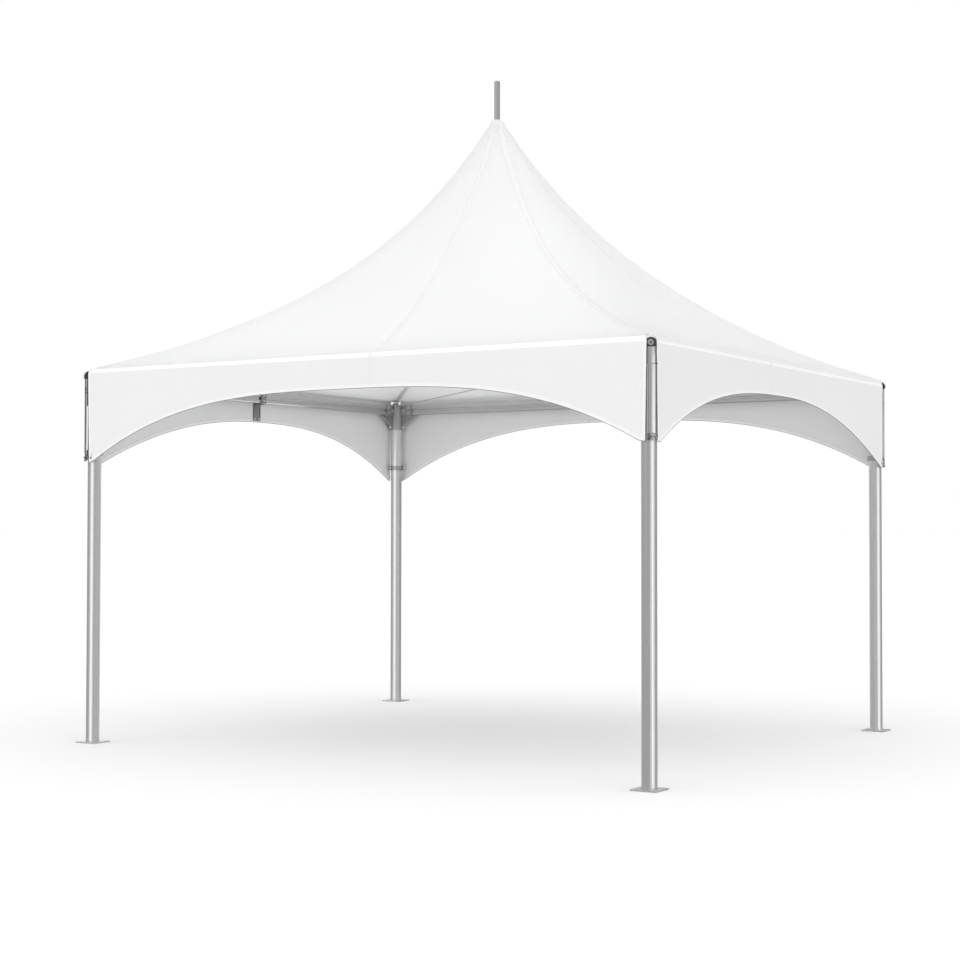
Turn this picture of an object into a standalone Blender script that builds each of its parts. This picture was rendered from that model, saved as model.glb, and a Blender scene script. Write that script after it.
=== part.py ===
# High-peak marquee tent: four tube legs on square base plates, a rectangle of eave rails joined
# by corner fittings, a white concave roof drawn up to a flying centre mast, and four arched
# valances. Metres, +Z up, origin on the ground under the mast. The long open side that faces -Y
# is the front.
import math

import bmesh
import bpy
from mathutils import Matrix, Vector

# Plan: distance from the centre to the leg axes
HALF_X = 2.05
HALF_Y = 1.745

# Heights above the ground
EAVE_Z = 2.44
PEAK_Z = 4.20
TIP_TOP_Z = 4.484

GAP = 0.0003             # left between pieces that touch
CLEAR = 0.0004           # left between a cover or the cloth and the metal under it
DIAGONAL = math.sqrt(2)
ROOM = 0.01              # how far a cutter runs past what it cuts
SMOOTH = 40              # edges sharper than this many degrees stay sharp

# Fabric
CLOTH_OUT = 0.056        # outer face of the valances, outside the leg axes
CLOTH_T = 0.004
SLOT_END = 0.003         # a valance ends this far past the leg axis
PEAK_R = 0.038           # round opening at the peak
PEAK_S = PEAK_R / math.hypot(HALF_X + CLOTH_OUT, HALF_Y + CLOTH_OUT)
SAG = 0.61               # a smaller value draws the roof in closer to the mast
ROUND_GAIN = 2.2         # the roof's section goes from round at the peak
ROUND_POWER = 1.2        # to a sharp rectangle at this share of the eave
ROUND_END = 0.97
ROOF_ROWS = 14
ROW_POWER = 1.35
ROOF_COLUMNS = 12
VALANCE_COLUMNS = 32

# Legs
LEG_R = 0.044
LEG_WALL = 0.003
LEG_TOP_Z = 1.889
UPPER_R = 0.046
UPPER_WALL = 0.005
UPPER_TOP_Z = 2.345
ROUND_SIDES = 32

# Base plates
PLATE_HALF = 0.0785
PLATE_T = 0.008
PLATE_HOLE_R = 0.007
PLATE_HOLE_AT = 0.059
SPIGOT_R = LEG_R - LEG_WALL - GAP
SPIGOT_WALL = 0.004
SPIGOT_Z = 0.090

# Clamp ring at the foot of each upper leg, with two lugs for the valance corners
CLAMP_R = 0.0515
CLAMP_Z = (1.892, 1.926)
LUG_HALF = 0.009
LUG_INSET = 0.004
FLAT_SPARE = 0.001       # the flat cut for the corner track is this much wider on each side
LUG_REACH = (CLOTH_OUT - CLOTH_T - CLEAR) * DIAGONAL - LUG_HALF

# Eave rails and the sleeves of the corner fittings
RAIL_OUT = 0.016         # the rail axis lies this far outside the leg axes
RAIL_Z = 2.379
RAIL_HALF_W = 0.028
RAIL_HALF_H = 0.038
RAIL_CHAMFER = 0.006
RAIL_GROOVE = 0.006
RAIL_GROOVE_AT = -0.004
GROOVE_MOUTH = 0.011
GROOVE_FLOOR = 0.006
RAIL_HOLLOW = (0.72, 0.86)
RAIL_START = 0.060
SLEEVE_HALF_W = 0.032
SLEEVE_HALF_H = 0.042
SLEEVE_CHAMFER = 0.008
SLEEVE_END = 0.160
SOCKET_R = 0.051
SOCKET_Z = (2.222, 2.427)
GUSSET_REACH = 0.190
GUSSET_HALF_T = 0.005
GUSSET_TIP = 0.006
GUSSET_LAP = 0.002
EYE_REACH = 0.082
EYE_HALF = 0.008
EYE_Z = (2.400, 2.424)

# Corner tracks: rounded covers up the outer side of each upper leg, bent over at the top
TRACK_HALF_W = 0.028
TRACK_IN = SOCKET_R + CLEAR
TRACK_DEPTH = 0.016
TRACK_ROUND = 0.012
TRACK_BEND = 0.0265
TRACK_BEND_STEPS = 6
TRACK_FOOT_Z = 1.906
TRACK_TOP_Z = 2.454
TRACK_TONGUE = 0.018
NOTCH_HALF = 0.032       # half width of the slot in the roof over each corner
NOTCH_FROM = 0.002       # its round end, past the leg axis
NOTCH_ROUND = 0.020
NOTCH_STEPS = 3

# Valance brackets at the middle of each rail
CLIP_HALF = 0.030
CLIP_WALL = 0.005
CLIP_TOP = 0.003
STRAP_HALF = 0.040
STRAP_T = 0.005
STRAP_RISE = 0.004       # the strap ends this far above the arch
SHELF_T = 0.008
SHELF_PAST = 0.010

# Mast
MAST_R = 0.025
MAST_WALL = 0.004
MAST_CAP = 0.050         # solid length of tube under the shoulder
MAST_SIDES = 24
TIP_R = 0.020
TIP_ROUND = 0.008
TIP_DOME = (0.8, 0.45)   # the rounded top's two upper radii, as shares of the tip's
COLLAR_R = 0.040
COLLAR_T = 0.008
FOOT_R = 0.055
FOOT_Z = (2.380, 2.412)
CABLE_R = 0.004
CABLE_SIDES = 10
CABLE_FOOT_Z = 2.396
CABLE_EYE_Z = 2.412
CABLE_END = 0.0013       # left before the eye, whose face is a little askew to the cable

# Each corner's side of the centre, and the turn from the front right corner
CORNERS = {
    "front_right": (1, -1, 0),
    "back_right": (1, 1, 90),
    "back_left": (-1, 1, 180),
    "front_left": (-1, -1, 270),
}

# Each side's half length, its distance from the centre, and its turn from the front
SIDES = {
    "front": (HALF_X, HALF_Y, 0),
    "right": (HALF_Y, HALF_X, 90),
    "back": (HALF_X, HALF_Y, 180),
    "left": (HALF_Y, HALF_X, 270),
}

# Each valance's arch: its height at the middle, then the height of an end and the power of the
# curve down to it, for the left and the right end seen from outside
ARCHES = {
    "front": (2.251, (1.848, 2.96), (1.889, 3.06)),
    "right": (2.237, (1.887, 2.85), (1.844, 2.08)),
    "back": (2.239, (1.838, 2.92), (1.806, 2.77)),
    "left": (2.206, (1.806, 2.60), (1.803, 2.10)),
}


def clear_scene():
    for item in list(bpy.data.objects):
        bpy.data.objects.remove(item, do_unlink=True)


def material(name, colour, roughness, metallic):
    found = bpy.data.materials.new(name)
    found.use_nodes = True
    shader = found.node_tree.nodes["Principled BSDF"]
    shader.inputs["Base Color"].default_value = (*colour, 1.0)
    shader.inputs["Roughness"].default_value = roughness
    shader.inputs["Metallic"].default_value = metallic
    return found


def mesh_object(name, verts, faces, paint, smooth_angle=None):
    mesh = bpy.data.meshes.new(name)
    mesh.from_pydata([tuple(v) for v in verts], [], faces)
    editor = bmesh.new()
    editor.from_mesh(mesh)
    bmesh.ops.recalc_face_normals(editor, faces=editor.faces)
    editor.to_mesh(mesh)
    editor.free()
    if smooth_angle:
        mesh.shade_smooth()
        mesh.set_sharp_from_angle(angle=math.radians(smooth_angle))
    piece = bpy.data.objects.new(name, mesh)
    bpy.context.scene.collection.objects.link(piece)
    piece.data.materials.append(paint)
    return piece


def loft(name, rings, paint, smooth_angle=None, closed=False):
    # Joins rings of equal point counts; the ends are capped unless the loft closes on itself
    count = len(rings[0])
    verts = [point for ring in rings for point in ring]
    faces = []
    spans = len(rings) if closed else len(rings) - 1
    for row in range(spans):
        low = row * count
        high = ((row + 1) % len(rings)) * count
        for i in range(count):
            j = (i + 1) % count
            faces.append((low + i, low + j, high + j, high + i))
    if not closed:
        faces.append(tuple(range(count)))
        faces.append(tuple(range(len(verts) - count, len(verts))))
    return mesh_object(name, verts, faces, paint, smooth_angle)


def sheet_solid(name, front, back, rows, columns, paint):
    # Closes two grids of (rows + 1) by (columns + 1) points into one thin solid
    count = len(front)
    wide = columns + 1
    faces = []
    for row in range(rows):
        for column in range(columns):
            a = row * wide + column
            quad = (a, a + 1, a + wide + 1, a + wide)
            faces.append(quad)
            faces.append(tuple(count + i for i in reversed(quad)))
    rim = list(range(columns))
    rim += [row * wide + columns for row in range(rows)]
    rim += [rows * wide + column for column in range(columns, 0, -1)]
    rim += [row * wide for row in range(rows, 0, -1)]
    for here, after in zip(rim, rim[1:] + rim[:1]):
        faces.append((here, after, count + after, count + here))
    return mesh_object(name, list(front) + list(back), faces, paint, 30)


def circle(radius, z, sides=ROUND_SIDES):
    turns = [2 * math.pi * k / sides for k in range(sides)]
    return [Vector((radius * math.cos(a), radius * math.sin(a), z)) for a in turns]


def tube(name, outer, inner, z_low, z_high, paint):
    rings = [circle(outer, z_low), circle(outer, z_high), circle(inner, z_high), circle(inner, z_low)]
    return loft(name, rings, paint, SMOOTH, closed=True)


def rod(name, radius, z_low, z_high, paint):
    return loft(name, [circle(radius, z_low), circle(radius, z_high)], paint, SMOOTH)


def box(name, low, high, paint):
    ring = [(low[0], low[1]), (high[0], low[1]), (high[0], high[1]), (low[0], high[1])]
    return loft(name, [[(x, y, z) for x, y in ring] for z in (low[2], high[2])], paint)


def prism_y(name, outline, y_low, y_high, paint):
    # An outline of (x, z) points run from y_low to y_high
    return loft(name, [[(x, y, z) for x, z in outline] for y in (y_low, y_high)], paint, SMOOTH)


def prism_x(name, outline, x_low, x_high, paint):
    # An outline of (y, z) points run from x_low to x_high
    return loft(name, [[(x, y, z) for y, z in outline] for x in (x_low, x_high)], paint, SMOOTH)


def flipped(outline):
    return [(-a, b) for a, b in outline]


def chamfered(half_w, half_h, cut, centre=(0.0, 0.0)):
    points = [(-half_w, -half_h + cut), (-half_w + cut, -half_h), (half_w - cut, -half_h),
              (half_w, -half_h + cut), (half_w, half_h - cut), (half_w - cut, half_h),
              (-half_w + cut, half_h), (-half_w, half_h - cut)]
    return [(centre[0] + a, centre[1] + b) for a, b in points]


def combine(base, others, operation):
    # Joins the others to the base, or cuts them from it, and keeps only the result
    for other in others:
        other.hide_render = True
        other.display_type = "WIRE"
        step = base.modifiers.new(operation, "BOOLEAN")
        step.object = other
        step.operation = operation
        step.solver = "EXACT"
    bpy.context.view_layer.update()
    seen = base.evaluated_get(bpy.context.evaluated_depsgraph_get())
    finished = bpy.data.meshes.new_from_object(seen)
    base.modifiers.clear()
    base.data = finished
    for other in others:
        bpy.data.objects.remove(other, do_unlink=True)
    return base


def at_corner(piece, corner):
    side_x, side_y, degrees = CORNERS[corner]
    piece.location = (side_x * HALF_X, side_y * HALF_Y, 0.0)
    piece.rotation_euler = (0.0, 0.0, math.radians(degrees))


def at_each_corner(first, stem):
    # The first piece is drawn at the front right corner, its rails running to -X and +Y
    first.name = stem + "_front_right"
    at_corner(first, "front_right")
    for corner in list(CORNERS)[1:]:
        copy = first.copy()
        copy.name = stem + "_" + corner
        bpy.context.scene.collection.objects.link(copy)
        at_corner(copy, corner)


def turned(verts, degrees):
    turn = Matrix.Rotation(math.radians(degrees), 4, "Z")
    return [turn @ Vector(v) for v in verts]


# Base plates with their spigots, and the legs

def make_plates(steel):
    plate = box("plate", (-PLATE_HALF, -PLATE_HALF, 0.0), (PLATE_HALF, PLATE_HALF, PLATE_T), steel)
    spigot = tube("spigot", SPIGOT_R, SPIGOT_R - SPIGOT_WALL, PLATE_T / 2, SPIGOT_Z, steel)
    combine(plate, [spigot], "UNION")
    drills = []
    for side_x in (-1, 1):
        for side_y in (-1, 1):
            drill = rod("drill", PLATE_HOLE_R, -ROOM, PLATE_T + ROOM, steel)
            drill.location = (side_x * PLATE_HOLE_AT, side_y * PLATE_HOLE_AT, 0.0)
            drills.append(drill)
    combine(plate, drills, "DIFFERENCE")
    at_each_corner(plate, "base_plate")


def make_legs(aluminium):
    leg = tube("leg", LEG_R, LEG_R - LEG_WALL, PLATE_T + GAP, LEG_TOP_Z, aluminium)
    at_each_corner(leg, "leg")
    upper = tube("upper", UPPER_R, UPPER_R - UPPER_WALL, LEG_TOP_Z + GAP, UPPER_TOP_Z, aluminium)
    at_each_corner(upper, "upper_leg")


def make_clamps(cast):
    low, high = CLAMP_Z
    ring = rod("ring", CLAMP_R, low, high, cast)
    lug = box("lug", (-LUG_HALF, -LUG_REACH, low + LUG_INSET), (LUG_HALF, LUG_REACH, high - LUG_INSET), cast)
    lug.rotation_euler = (0.0, 0.0, math.radians(-45))
    combine(ring, [lug], "UNION")
    bore = rod("bore", UPPER_R + GAP, low - ROOM, high + ROOM, cast)
    flat_half = TRACK_HALF_W + FLAT_SPARE
    flat = box("flat", (TRACK_IN - GAP, -flat_half, low - ROOM), (2 * CLAMP_R, flat_half, high + ROOM), cast)
    flat.rotation_euler = (0.0, 0.0, math.radians(-45))
    combine(ring, [bore, flat], "DIFFERENCE")
    at_each_corner(ring, "leg_clamp")


# Corner fittings: a socket over the upper leg, two sleeves over the rails and two gussets

def make_fittings(cast):
    socket = rod("socket", SOCKET_R, SOCKET_Z[0], SOCKET_Z[1], cast)
    low = RAIL_Z - SLEEVE_HALF_H
    gusset = [(-GUSSET_REACH, low + GUSSET_LAP), (-GUSSET_REACH, low - GUSSET_TIP),
              (0.0, SOCKET_Z[0] + GUSSET_LAP), (0.0, low + GUSSET_LAP)]
    sleeve = chamfered(SLEEVE_HALF_W, SLEEVE_HALF_H, SLEEVE_CHAMFER, (-RAIL_OUT, RAIL_Z))
    gusset_low = -RAIL_OUT - GUSSET_HALF_T
    gusset_high = -RAIL_OUT + GUSSET_HALF_T
    eye = box("eye", (-EYE_REACH, -EYE_HALF, EYE_Z[0]), (0.0, EYE_HALF, EYE_Z[1]), cast)
    eye.rotation_euler = (0.0, 0.0, math.radians(-45))
    pieces = [
        prism_x("sleeve_x", sleeve, -SLEEVE_END, 0.0, cast),
        prism_y("sleeve_y", flipped(sleeve), 0.0, SLEEVE_END, cast),
        prism_y("gusset_x", gusset, gusset_low, gusset_high, cast),
        prism_x("gusset_y", flipped(gusset), -gusset_high, -gusset_low, cast),
        eye,
    ]
    combine(socket, pieces, "UNION")
    rail = chamfered(RAIL_HALF_W + GAP, RAIL_HALF_H + GAP, RAIL_CHAMFER, (-RAIL_OUT, RAIL_Z))
    far = GUSSET_REACH + ROOM
    cuts = [
        rod("bore", UPPER_R + GAP, SOCKET_Z[0] - ROOM, UPPER_TOP_Z + GAP, cast),
        prism_x("rail_x", rail, -far, -RAIL_START + GAP, cast),
        prism_y("rail_y", flipped(rail), RAIL_START - GAP, far, cast),
    ]
    combine(socket, cuts, "DIFFERENCE")
    at_each_corner(socket, "corner_fitting")


# Corner tracks

def track_ring(centre_u, centre_z, angle):
    # Outline of the cover across its path; the angle turns it from upright (0) to level (90)
    half = TRACK_HALF_W
    flat = half - TRACK_ROUND
    turns = [math.radians(d) for d in (0, 30, 60, 90)]
    arc = [(flat + TRACK_ROUND * math.cos(a), TRACK_DEPTH - TRACK_ROUND * (1 - math.sin(a))) for a in turns]
    outline = [(-half, 0.0), (half, 0.0)] + arc + [(-v, d) for v, d in reversed(arc)]
    ring = []
    for v, d in outline:
        u = centre_u + d * math.cos(angle)
        z = centre_z + d * math.sin(angle)
        ring.append(((u + v) / DIAGONAL, (v - u) / DIAGONAL, z))
    return ring


def make_tracks(aluminium):
    inner_bend = TRACK_BEND - TRACK_DEPTH
    bend_u = TRACK_IN - inner_bend
    bend_z = TRACK_TOP_Z - TRACK_BEND
    rings = [track_ring(TRACK_IN, TRACK_FOOT_Z, 0.0)]
    for step in range(TRACK_BEND_STEPS + 1):
        angle = math.radians(90 * step / TRACK_BEND_STEPS)
        u = bend_u + inner_bend * math.cos(angle)
        rings.append(track_ring(u, bend_z + inner_bend * math.sin(angle), angle))
    rings.append(track_ring(TRACK_TONGUE, bend_z + inner_bend, math.radians(90)))
    track = loft("track", rings, aluminium, SMOOTH)
    at_each_corner(track, "corner_track")


# Eave rails and valance brackets

def rail_outline():
    w = RAIL_HALF_W
    h = RAIL_HALF_H
    floor = w - RAIL_GROOVE
    at = RAIL_GROOVE_AT
    right = [(w, -h + RAIL_CHAMFER), (w, at - GROOVE_MOUTH), (floor, at - GROOVE_FLOOR),
             (floor, at + GROOVE_FLOOR), (w, at + GROOVE_MOUTH), (w, h - RAIL_CHAMFER),
             (w - RAIL_CHAMFER, h)]
    left = flipped(reversed(right))
    return [(w - RAIL_CHAMFER, -h)] + right + left + [(RAIL_CHAMFER - w, -h)]


def make_rails(aluminium):
    outline = rail_outline()
    hollow = [(a * RAIL_HOLLOW[0], b * RAIL_HOLLOW[1]) for a, b in outline]
    for side, (half_length, half_depth, degrees) in SIDES.items():
        reach = half_length - RAIL_START - GAP
        centre = -half_depth - RAIL_OUT
        rings = []
        for points, x in ((outline, -reach), (outline, reach), (hollow, reach), (hollow, -reach)):
            rings.append(turned([(x, centre + a, RAIL_Z + b) for a, b in points], degrees))
        loft("eave_rail_" + side, rings, aluminium, closed=True)


def make_brackets(cast):
    clip_low = RAIL_Z - RAIL_HALF_H - CLIP_WALL
    clip_high = RAIL_Z + RAIL_HALF_H + CLIP_TOP
    for side, (half_length, half_depth, degrees) in SIDES.items():
        centre = -half_depth - RAIL_OUT
        outer = chamfered(RAIL_HALF_W + CLIP_WALL, (clip_high - clip_low) / 2, RAIL_CHAMFER,
                          (centre, (clip_low + clip_high) / 2))
        clip = prism_x("valance_bracket_" + side, outer, -CLIP_HALF, CLIP_HALF, cast)
        face = -half_depth - CLOTH_OUT + CLOTH_T + GAP
        strap = box("strap", (-STRAP_HALF, face, arch_height(side, 0.0) + STRAP_RISE),
                    (STRAP_HALF, face + STRAP_T, clip_low), cast)
        shelf_high = clip_low + CLIP_WALL / 2
        shelf = box("shelf", (-CLIP_HALF, face, shelf_high - SHELF_T),
                    (CLIP_HALF, centre + SHELF_PAST, shelf_high), cast)
        combine(clip, [strap, shelf], "UNION")
        bore = chamfered(RAIL_HALF_W + GAP, RAIL_HALF_H + GAP, RAIL_CHAMFER, (centre, RAIL_Z))
        combine(clip, [prism_x("bore", bore, -CLIP_HALF - ROOM, CLIP_HALF + ROOM, cast)], "DIFFERENCE")
        clip.rotation_euler = (0.0, 0.0, math.radians(degrees))


# Roof and valances

def roof_height(share):
    # Height of the hips where the eave rectangle has shrunk to this share: a hyperbola
    rise = 1.0 / (share + SAG) - 1.0 / (1.0 + SAG)
    whole = 1.0 / (PEAK_S + SAG) - 1.0 / (1.0 + SAG)
    return EAVE_Z + (PEAK_Z - EAVE_Z) * rise / whole


def bulge(share, across):
    # How far the level section stands out past the straight line from hip to hip. It is a
    # circle at the peak and a rectangle from ROUND_END on; across runs from -1 to 1.
    part = share / ROUND_END
    if part >= 1.0:
        return 1.0
    power = 2.0 + ROUND_GAIN * part / (1.0 - part) ** ROUND_POWER
    return (2.0 / (1.0 + abs(across) ** power)) ** (1.0 / power)


def cloth_drop(share):
    # Upright thickness that leaves the cloth CLOTH_T thick across its slope
    step = 0.002
    slope = (roof_height(share - step) - roof_height(share)) / (step * HALF_X)
    return CLOTH_T * math.sqrt(1.0 + slope * slope)


def roof_rows(half_length, half_depth):
    # The share of the eave at each row, and how far the row reaches towards the hips
    eave_x = half_length + CLOTH_OUT
    eave_y = half_depth + CLOTH_OUT
    rows = []
    for row in range(ROOF_ROWS + 1):
        share = PEAK_S + (ROUND_END - PEAK_S) * (row / ROOF_ROWS) ** ROW_POWER
        rows.append((share, 1.0 - GAP / (share * eave_x)))
    slot = []
    for step in range(NOTCH_STEPS + 1):
        turn = math.radians(90 * step / NOTCH_STEPS)
        slot.append((NOTCH_FROM + NOTCH_ROUND * (1 - math.cos(turn)), NOTCH_HALF * math.sin(turn)))
    slot.append((CLOTH_OUT * DIAGONAL - NOTCH_HALF, NOTCH_HALF))
    for out, half in slot:
        share = (half_depth + (out + half) / DIAGONAL) / eave_y
        edge = half_length + (out - half) / DIAGONAL - GAP
        rows.append((share, edge / (share * eave_x)))
    return rows


def make_roof(cloth):
    for side, (half_length, half_depth, degrees) in SIDES.items():
        top = []
        bottom = []
        rows = roof_rows(half_length, half_depth)
        for share, reach in rows:
            z = roof_height(share)
            for column in range(ROOF_COLUMNS + 1):
                across = reach * math.sin(math.pi * (column / ROOF_COLUMNS - 0.5))
                out = bulge(share, across) * share
                x = out * across * (half_length + CLOTH_OUT)
                y = -out * (half_depth + CLOTH_OUT)
                top.append((x, y, z))
                bottom.append((x, y, z - cloth_drop(share)))
        sheet_solid("roof_panel_" + side, turned(top, degrees), turned(bottom, degrees),
                    len(rows) - 1, ROOF_COLUMNS, cloth)


def arch_height(side, across):
    # Across runs from -1 at the left end to 1 at the right
    top, left, right = ARCHES[side]
    end, power = right if across > 0 else left
    return top - (top - end) * abs(across) ** power


def make_valances(cloth):
    top_z = EAVE_Z - cloth_drop(1.0) - GAP
    for side, (half_length, half_depth, degrees) in SIDES.items():
        reach = half_length + SLOT_END
        outer = -half_depth - CLOTH_OUT
        front = []
        back = []
        for row in (0, 1):
            for column in range(VALANCE_COLUMNS + 1):
                across = 2 * column / VALANCE_COLUMNS - 1
                z = top_z if row == 0 else arch_height(side, across)
                front.append((across * reach, outer, z))
                back.append((across * reach, outer + CLOTH_T, z))
        sheet_solid("valance_" + side, turned(front, degrees), turned(back, degrees), 1,
                    VALANCE_COLUMNS, cloth)


# Mast, its foot, its cables and the peak

def make_mast(aluminium, cast):
    foot_z = FOOT_Z[1] + GAP
    inner = MAST_R - MAST_WALL
    profile = [(inner, PEAK_Z - MAST_CAP), (inner, foot_z), (MAST_R, foot_z), (MAST_R, PEAK_Z),
               (TIP_R, PEAK_Z), (TIP_R, TIP_TOP_Z - TIP_ROUND),
               (TIP_R * TIP_DOME[0], TIP_TOP_Z - TIP_ROUND / 4), (TIP_R * TIP_DOME[1], TIP_TOP_Z)]
    loft("mast", [circle(radius, z, MAST_SIDES) for radius, z in profile], aluminium, SMOOTH)
    collar_z = PEAK_Z + GAP
    tube("peak_collar", COLLAR_R, TIP_R + GAP, collar_z, collar_z + COLLAR_T, cast)
    rod("mast_foot", FOOT_R, FOOT_Z[0], FOOT_Z[1], cast)


def make_cables(wire):
    eye = EYE_REACH / DIAGONAL
    turns = [2 * math.pi * k / CABLE_SIDES for k in range(CABLE_SIDES)]
    for corner, (side_x, side_y, degrees) in CORNERS.items():
        far = Vector((side_x * (HALF_X - eye), side_y * (HALF_Y - eye), CABLE_EYE_Z))
        flat = Vector((far.x, far.y, 0.0)).normalized()
        near = flat * (FOOT_R + GAP) + Vector((0.0, 0.0, CABLE_FOOT_Z))
        far = far - flat * CABLE_END
        along = (far - near).normalized()
        side = along.cross(Vector((0.0, 0.0, 1.0))).normalized() * CABLE_R
        rise = side.cross(along).normalized() * CABLE_R
        ring = [side * math.cos(a) + rise * math.sin(a) for a in turns]
        loft("mast_cable_" + corner, [[near + r for r in ring], [far + r for r in ring]], wire, 60)


def build():
    clear_scene()
    aluminium = material("aluminium", (0.72, 0.73, 0.74), 0.32, 1.0)
    cast = material("cast_aluminium", (0.60, 0.61, 0.62), 0.45, 1.0)
    steel = material("galvanised_steel", (0.52, 0.53, 0.54), 0.5, 1.0)
    wire = material("wire_rope", (0.50, 0.50, 0.51), 0.4, 1.0)
    cloth = material("white_canopy_cloth", (0.92, 0.92, 0.92), 0.6, 0.0)
    make_plates(steel)
    make_legs(aluminium)
    make_clamps(cast)
    make_fittings(cast)
    make_tracks(aluminium)
    make_rails(aluminium)
    make_brackets(cast)
    make_roof(cloth)
    make_valances(cloth)
    make_mast(aluminium, cast)
    make_cables(wire)


build()
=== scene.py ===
import random
from math import asin, atan2, cos, exp, hypot, pi, radians, sin, sqrt

import bmesh
import bpy
from mathutils import Matrix, Vector, noise


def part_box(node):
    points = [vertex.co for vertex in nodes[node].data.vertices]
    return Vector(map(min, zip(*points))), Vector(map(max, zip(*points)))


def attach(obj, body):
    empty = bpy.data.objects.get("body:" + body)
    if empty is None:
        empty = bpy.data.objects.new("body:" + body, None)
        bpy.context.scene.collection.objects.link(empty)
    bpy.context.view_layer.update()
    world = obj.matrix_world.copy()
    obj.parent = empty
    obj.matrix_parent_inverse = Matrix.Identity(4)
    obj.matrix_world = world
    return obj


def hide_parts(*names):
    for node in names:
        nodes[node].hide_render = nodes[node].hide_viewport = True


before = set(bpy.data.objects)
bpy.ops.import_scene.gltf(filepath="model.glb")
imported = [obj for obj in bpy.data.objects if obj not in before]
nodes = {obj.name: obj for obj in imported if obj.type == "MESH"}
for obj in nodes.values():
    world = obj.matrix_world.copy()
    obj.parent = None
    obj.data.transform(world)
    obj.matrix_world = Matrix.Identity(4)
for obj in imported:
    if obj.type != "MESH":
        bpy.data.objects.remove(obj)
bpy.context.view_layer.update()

# Driving sizes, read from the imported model
leg_low, leg_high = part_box("leg_front_right")
HALF_X = (leg_low.x + leg_high.x) / 2
HALF_Y = -(leg_low.y + leg_high.y) / 2
LEG_R = (leg_high.x - leg_low.x) / 2
EAVE_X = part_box("roof_panel_right")[1].x
EAVE_Y = -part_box("roof_panel_front")[0].y
PEAK_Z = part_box("roof_panel_front")[1].z
CLAMP_LOW, CLAMP_HIGH = (end.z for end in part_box("leg_clamp_front_right"))
TRACK_FOOT, TRACK_TOP = (end.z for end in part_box("corner_track_front_right"))
RAIL_LOW, RAIL_HIGH = (end.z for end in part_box("eave_rail_front"))
CLOTH_OUT = EAVE_X - HALF_X

# The camera, fitted to the photograph
LENS = 68.852
CAMERA_AT = (6.58557, -10.65557, 1.40869)
CAMERA_YAW = 32.24
CAMERA_PITCH = 1.53
CAMERA_ROLL = 0.08

# The roof's shape, as in the part's source
EAVE_Z = 2.44
PEAK_S = 0.038 / hypot(EAVE_X, EAVE_Y)
SAG = 0.61
ROUND_GAIN = 2.2
ROUND_POWER = 1.2
ROUND_END = 0.97

# The cloth
CLOTH_T = 0.002
COLUMNS = 88
UPPER_ROWS = 44          # from the peak to the wrinkled part near the eaves
CORNER_FROM = 0.78
CORNER_ROWS = 26
SLOT_FROM = 0.9735       # share of the eave at which the corner slots begin
SLOT_ROUND = 0.45        # share of the slot's length taken by its round end
SLOT_ROWS = 7
SLOT_FLARE = 0.0110      # how much less its edge is cut back at the foot of the valance
# The slot's edge, back from the corner along each eave
SLOT_CUTS = {"front_right": 0.0438, "back_right": 0.0585, "back_left": 0.0585, "front_left": 0.0505}
FOLD_TOP = 1.0 - 0.0155 / EAVE_Y     # share at which the raised fold along the eaves begins
FOLD_UP = 0.0182
LIFT_FROM = 0.75
VALANCE_ROWS = 24
VALANCE_DROP = 0.58      # from the eave down to the tips
TIP_FLAT = 0.016
HEM_W = 0.018
SLOT_HEM_W = 0.014
STRIP_HALF = 0.028
SEAM_HALF = 0.011
FRONT_SEAM = 0.11        # share of the half width at which the lapped seams run
SIDE_SEAM = -0.12

CORNERS = {
    "front_right": (1, -1, 0),
    "back_right": (1, 1, 90),
    "back_left": (-1, 1, 180),
    "front_left": (-1, -1, 270),
}
SIDES = {
    "front": (EAVE_X, EAVE_Y, 0, FRONT_SEAM),
    "right": (EAVE_Y, EAVE_X, 90, SIDE_SEAM),
    "back": (EAVE_X, EAVE_Y, 180, FRONT_SEAM),
    "left": (EAVE_Y, EAVE_X, 270, SIDE_SEAM),
}
# Each valance's arch: its height at the middle, then the height of an end and the power of the
# curve down to it, for the left and the right end seen from outside
ARCHES = {
    "front": (2.251, (1.848, 2.96), (1.889, 3.06)),
    "right": (2.237, (1.887, 2.85), (1.844, 2.08)),
    "back": (2.239, (1.838, 2.92), (1.806, 2.77)),
    "left": (2.206, (1.806, 2.60), (1.803, 2.10)),
}
# Each corner's two sides: the one that ends there and the one that starts there
CORNER_SIDES = {
    "front_right": ("front", "right"),
    "back_right": ("right", "back"),
    "back_left": ("back", "left"),
    "front_left": ("left", "front"),
}
# The corner at each end of a side, and the higher of the two cloth tips at each corner
CORNER_AT = {}
TIPS = {}
for corner, (before, after) in CORNER_SIDES.items():
    CORNER_AT[before, 1] = corner
    CORNER_AT[after, -1] = corner
    TIPS[corner] = max(ARCHES[before][2][0], ARCHES[after][1][0])


# Placements and mesh helpers

def moved(x, y, z):
    return Matrix.Translation((x, y, z))


def turned(degrees, axis="Z"):
    return Matrix.Rotation(radians(degrees), 4, axis)


def facing(origin, out, up=(0.0, 0.0, 1.0)):
    # A placement whose z points out from the surface and whose y points up
    z = Vector(out).normalized()
    x = Vector(up).cross(z)
    x = x.normalized() if x.length > 1e-6 else z.orthogonal().normalized()
    return moved(*origin) @ Matrix((x, z.cross(x), z)).transposed().to_4x4()


TURNS = {side: turned(SIDES[side][2]) for side in SIDES}


def linked(name, data):
    made = bpy.data.objects.new(name, data)
    bpy.context.scene.collection.objects.link(made)
    return made


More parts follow.
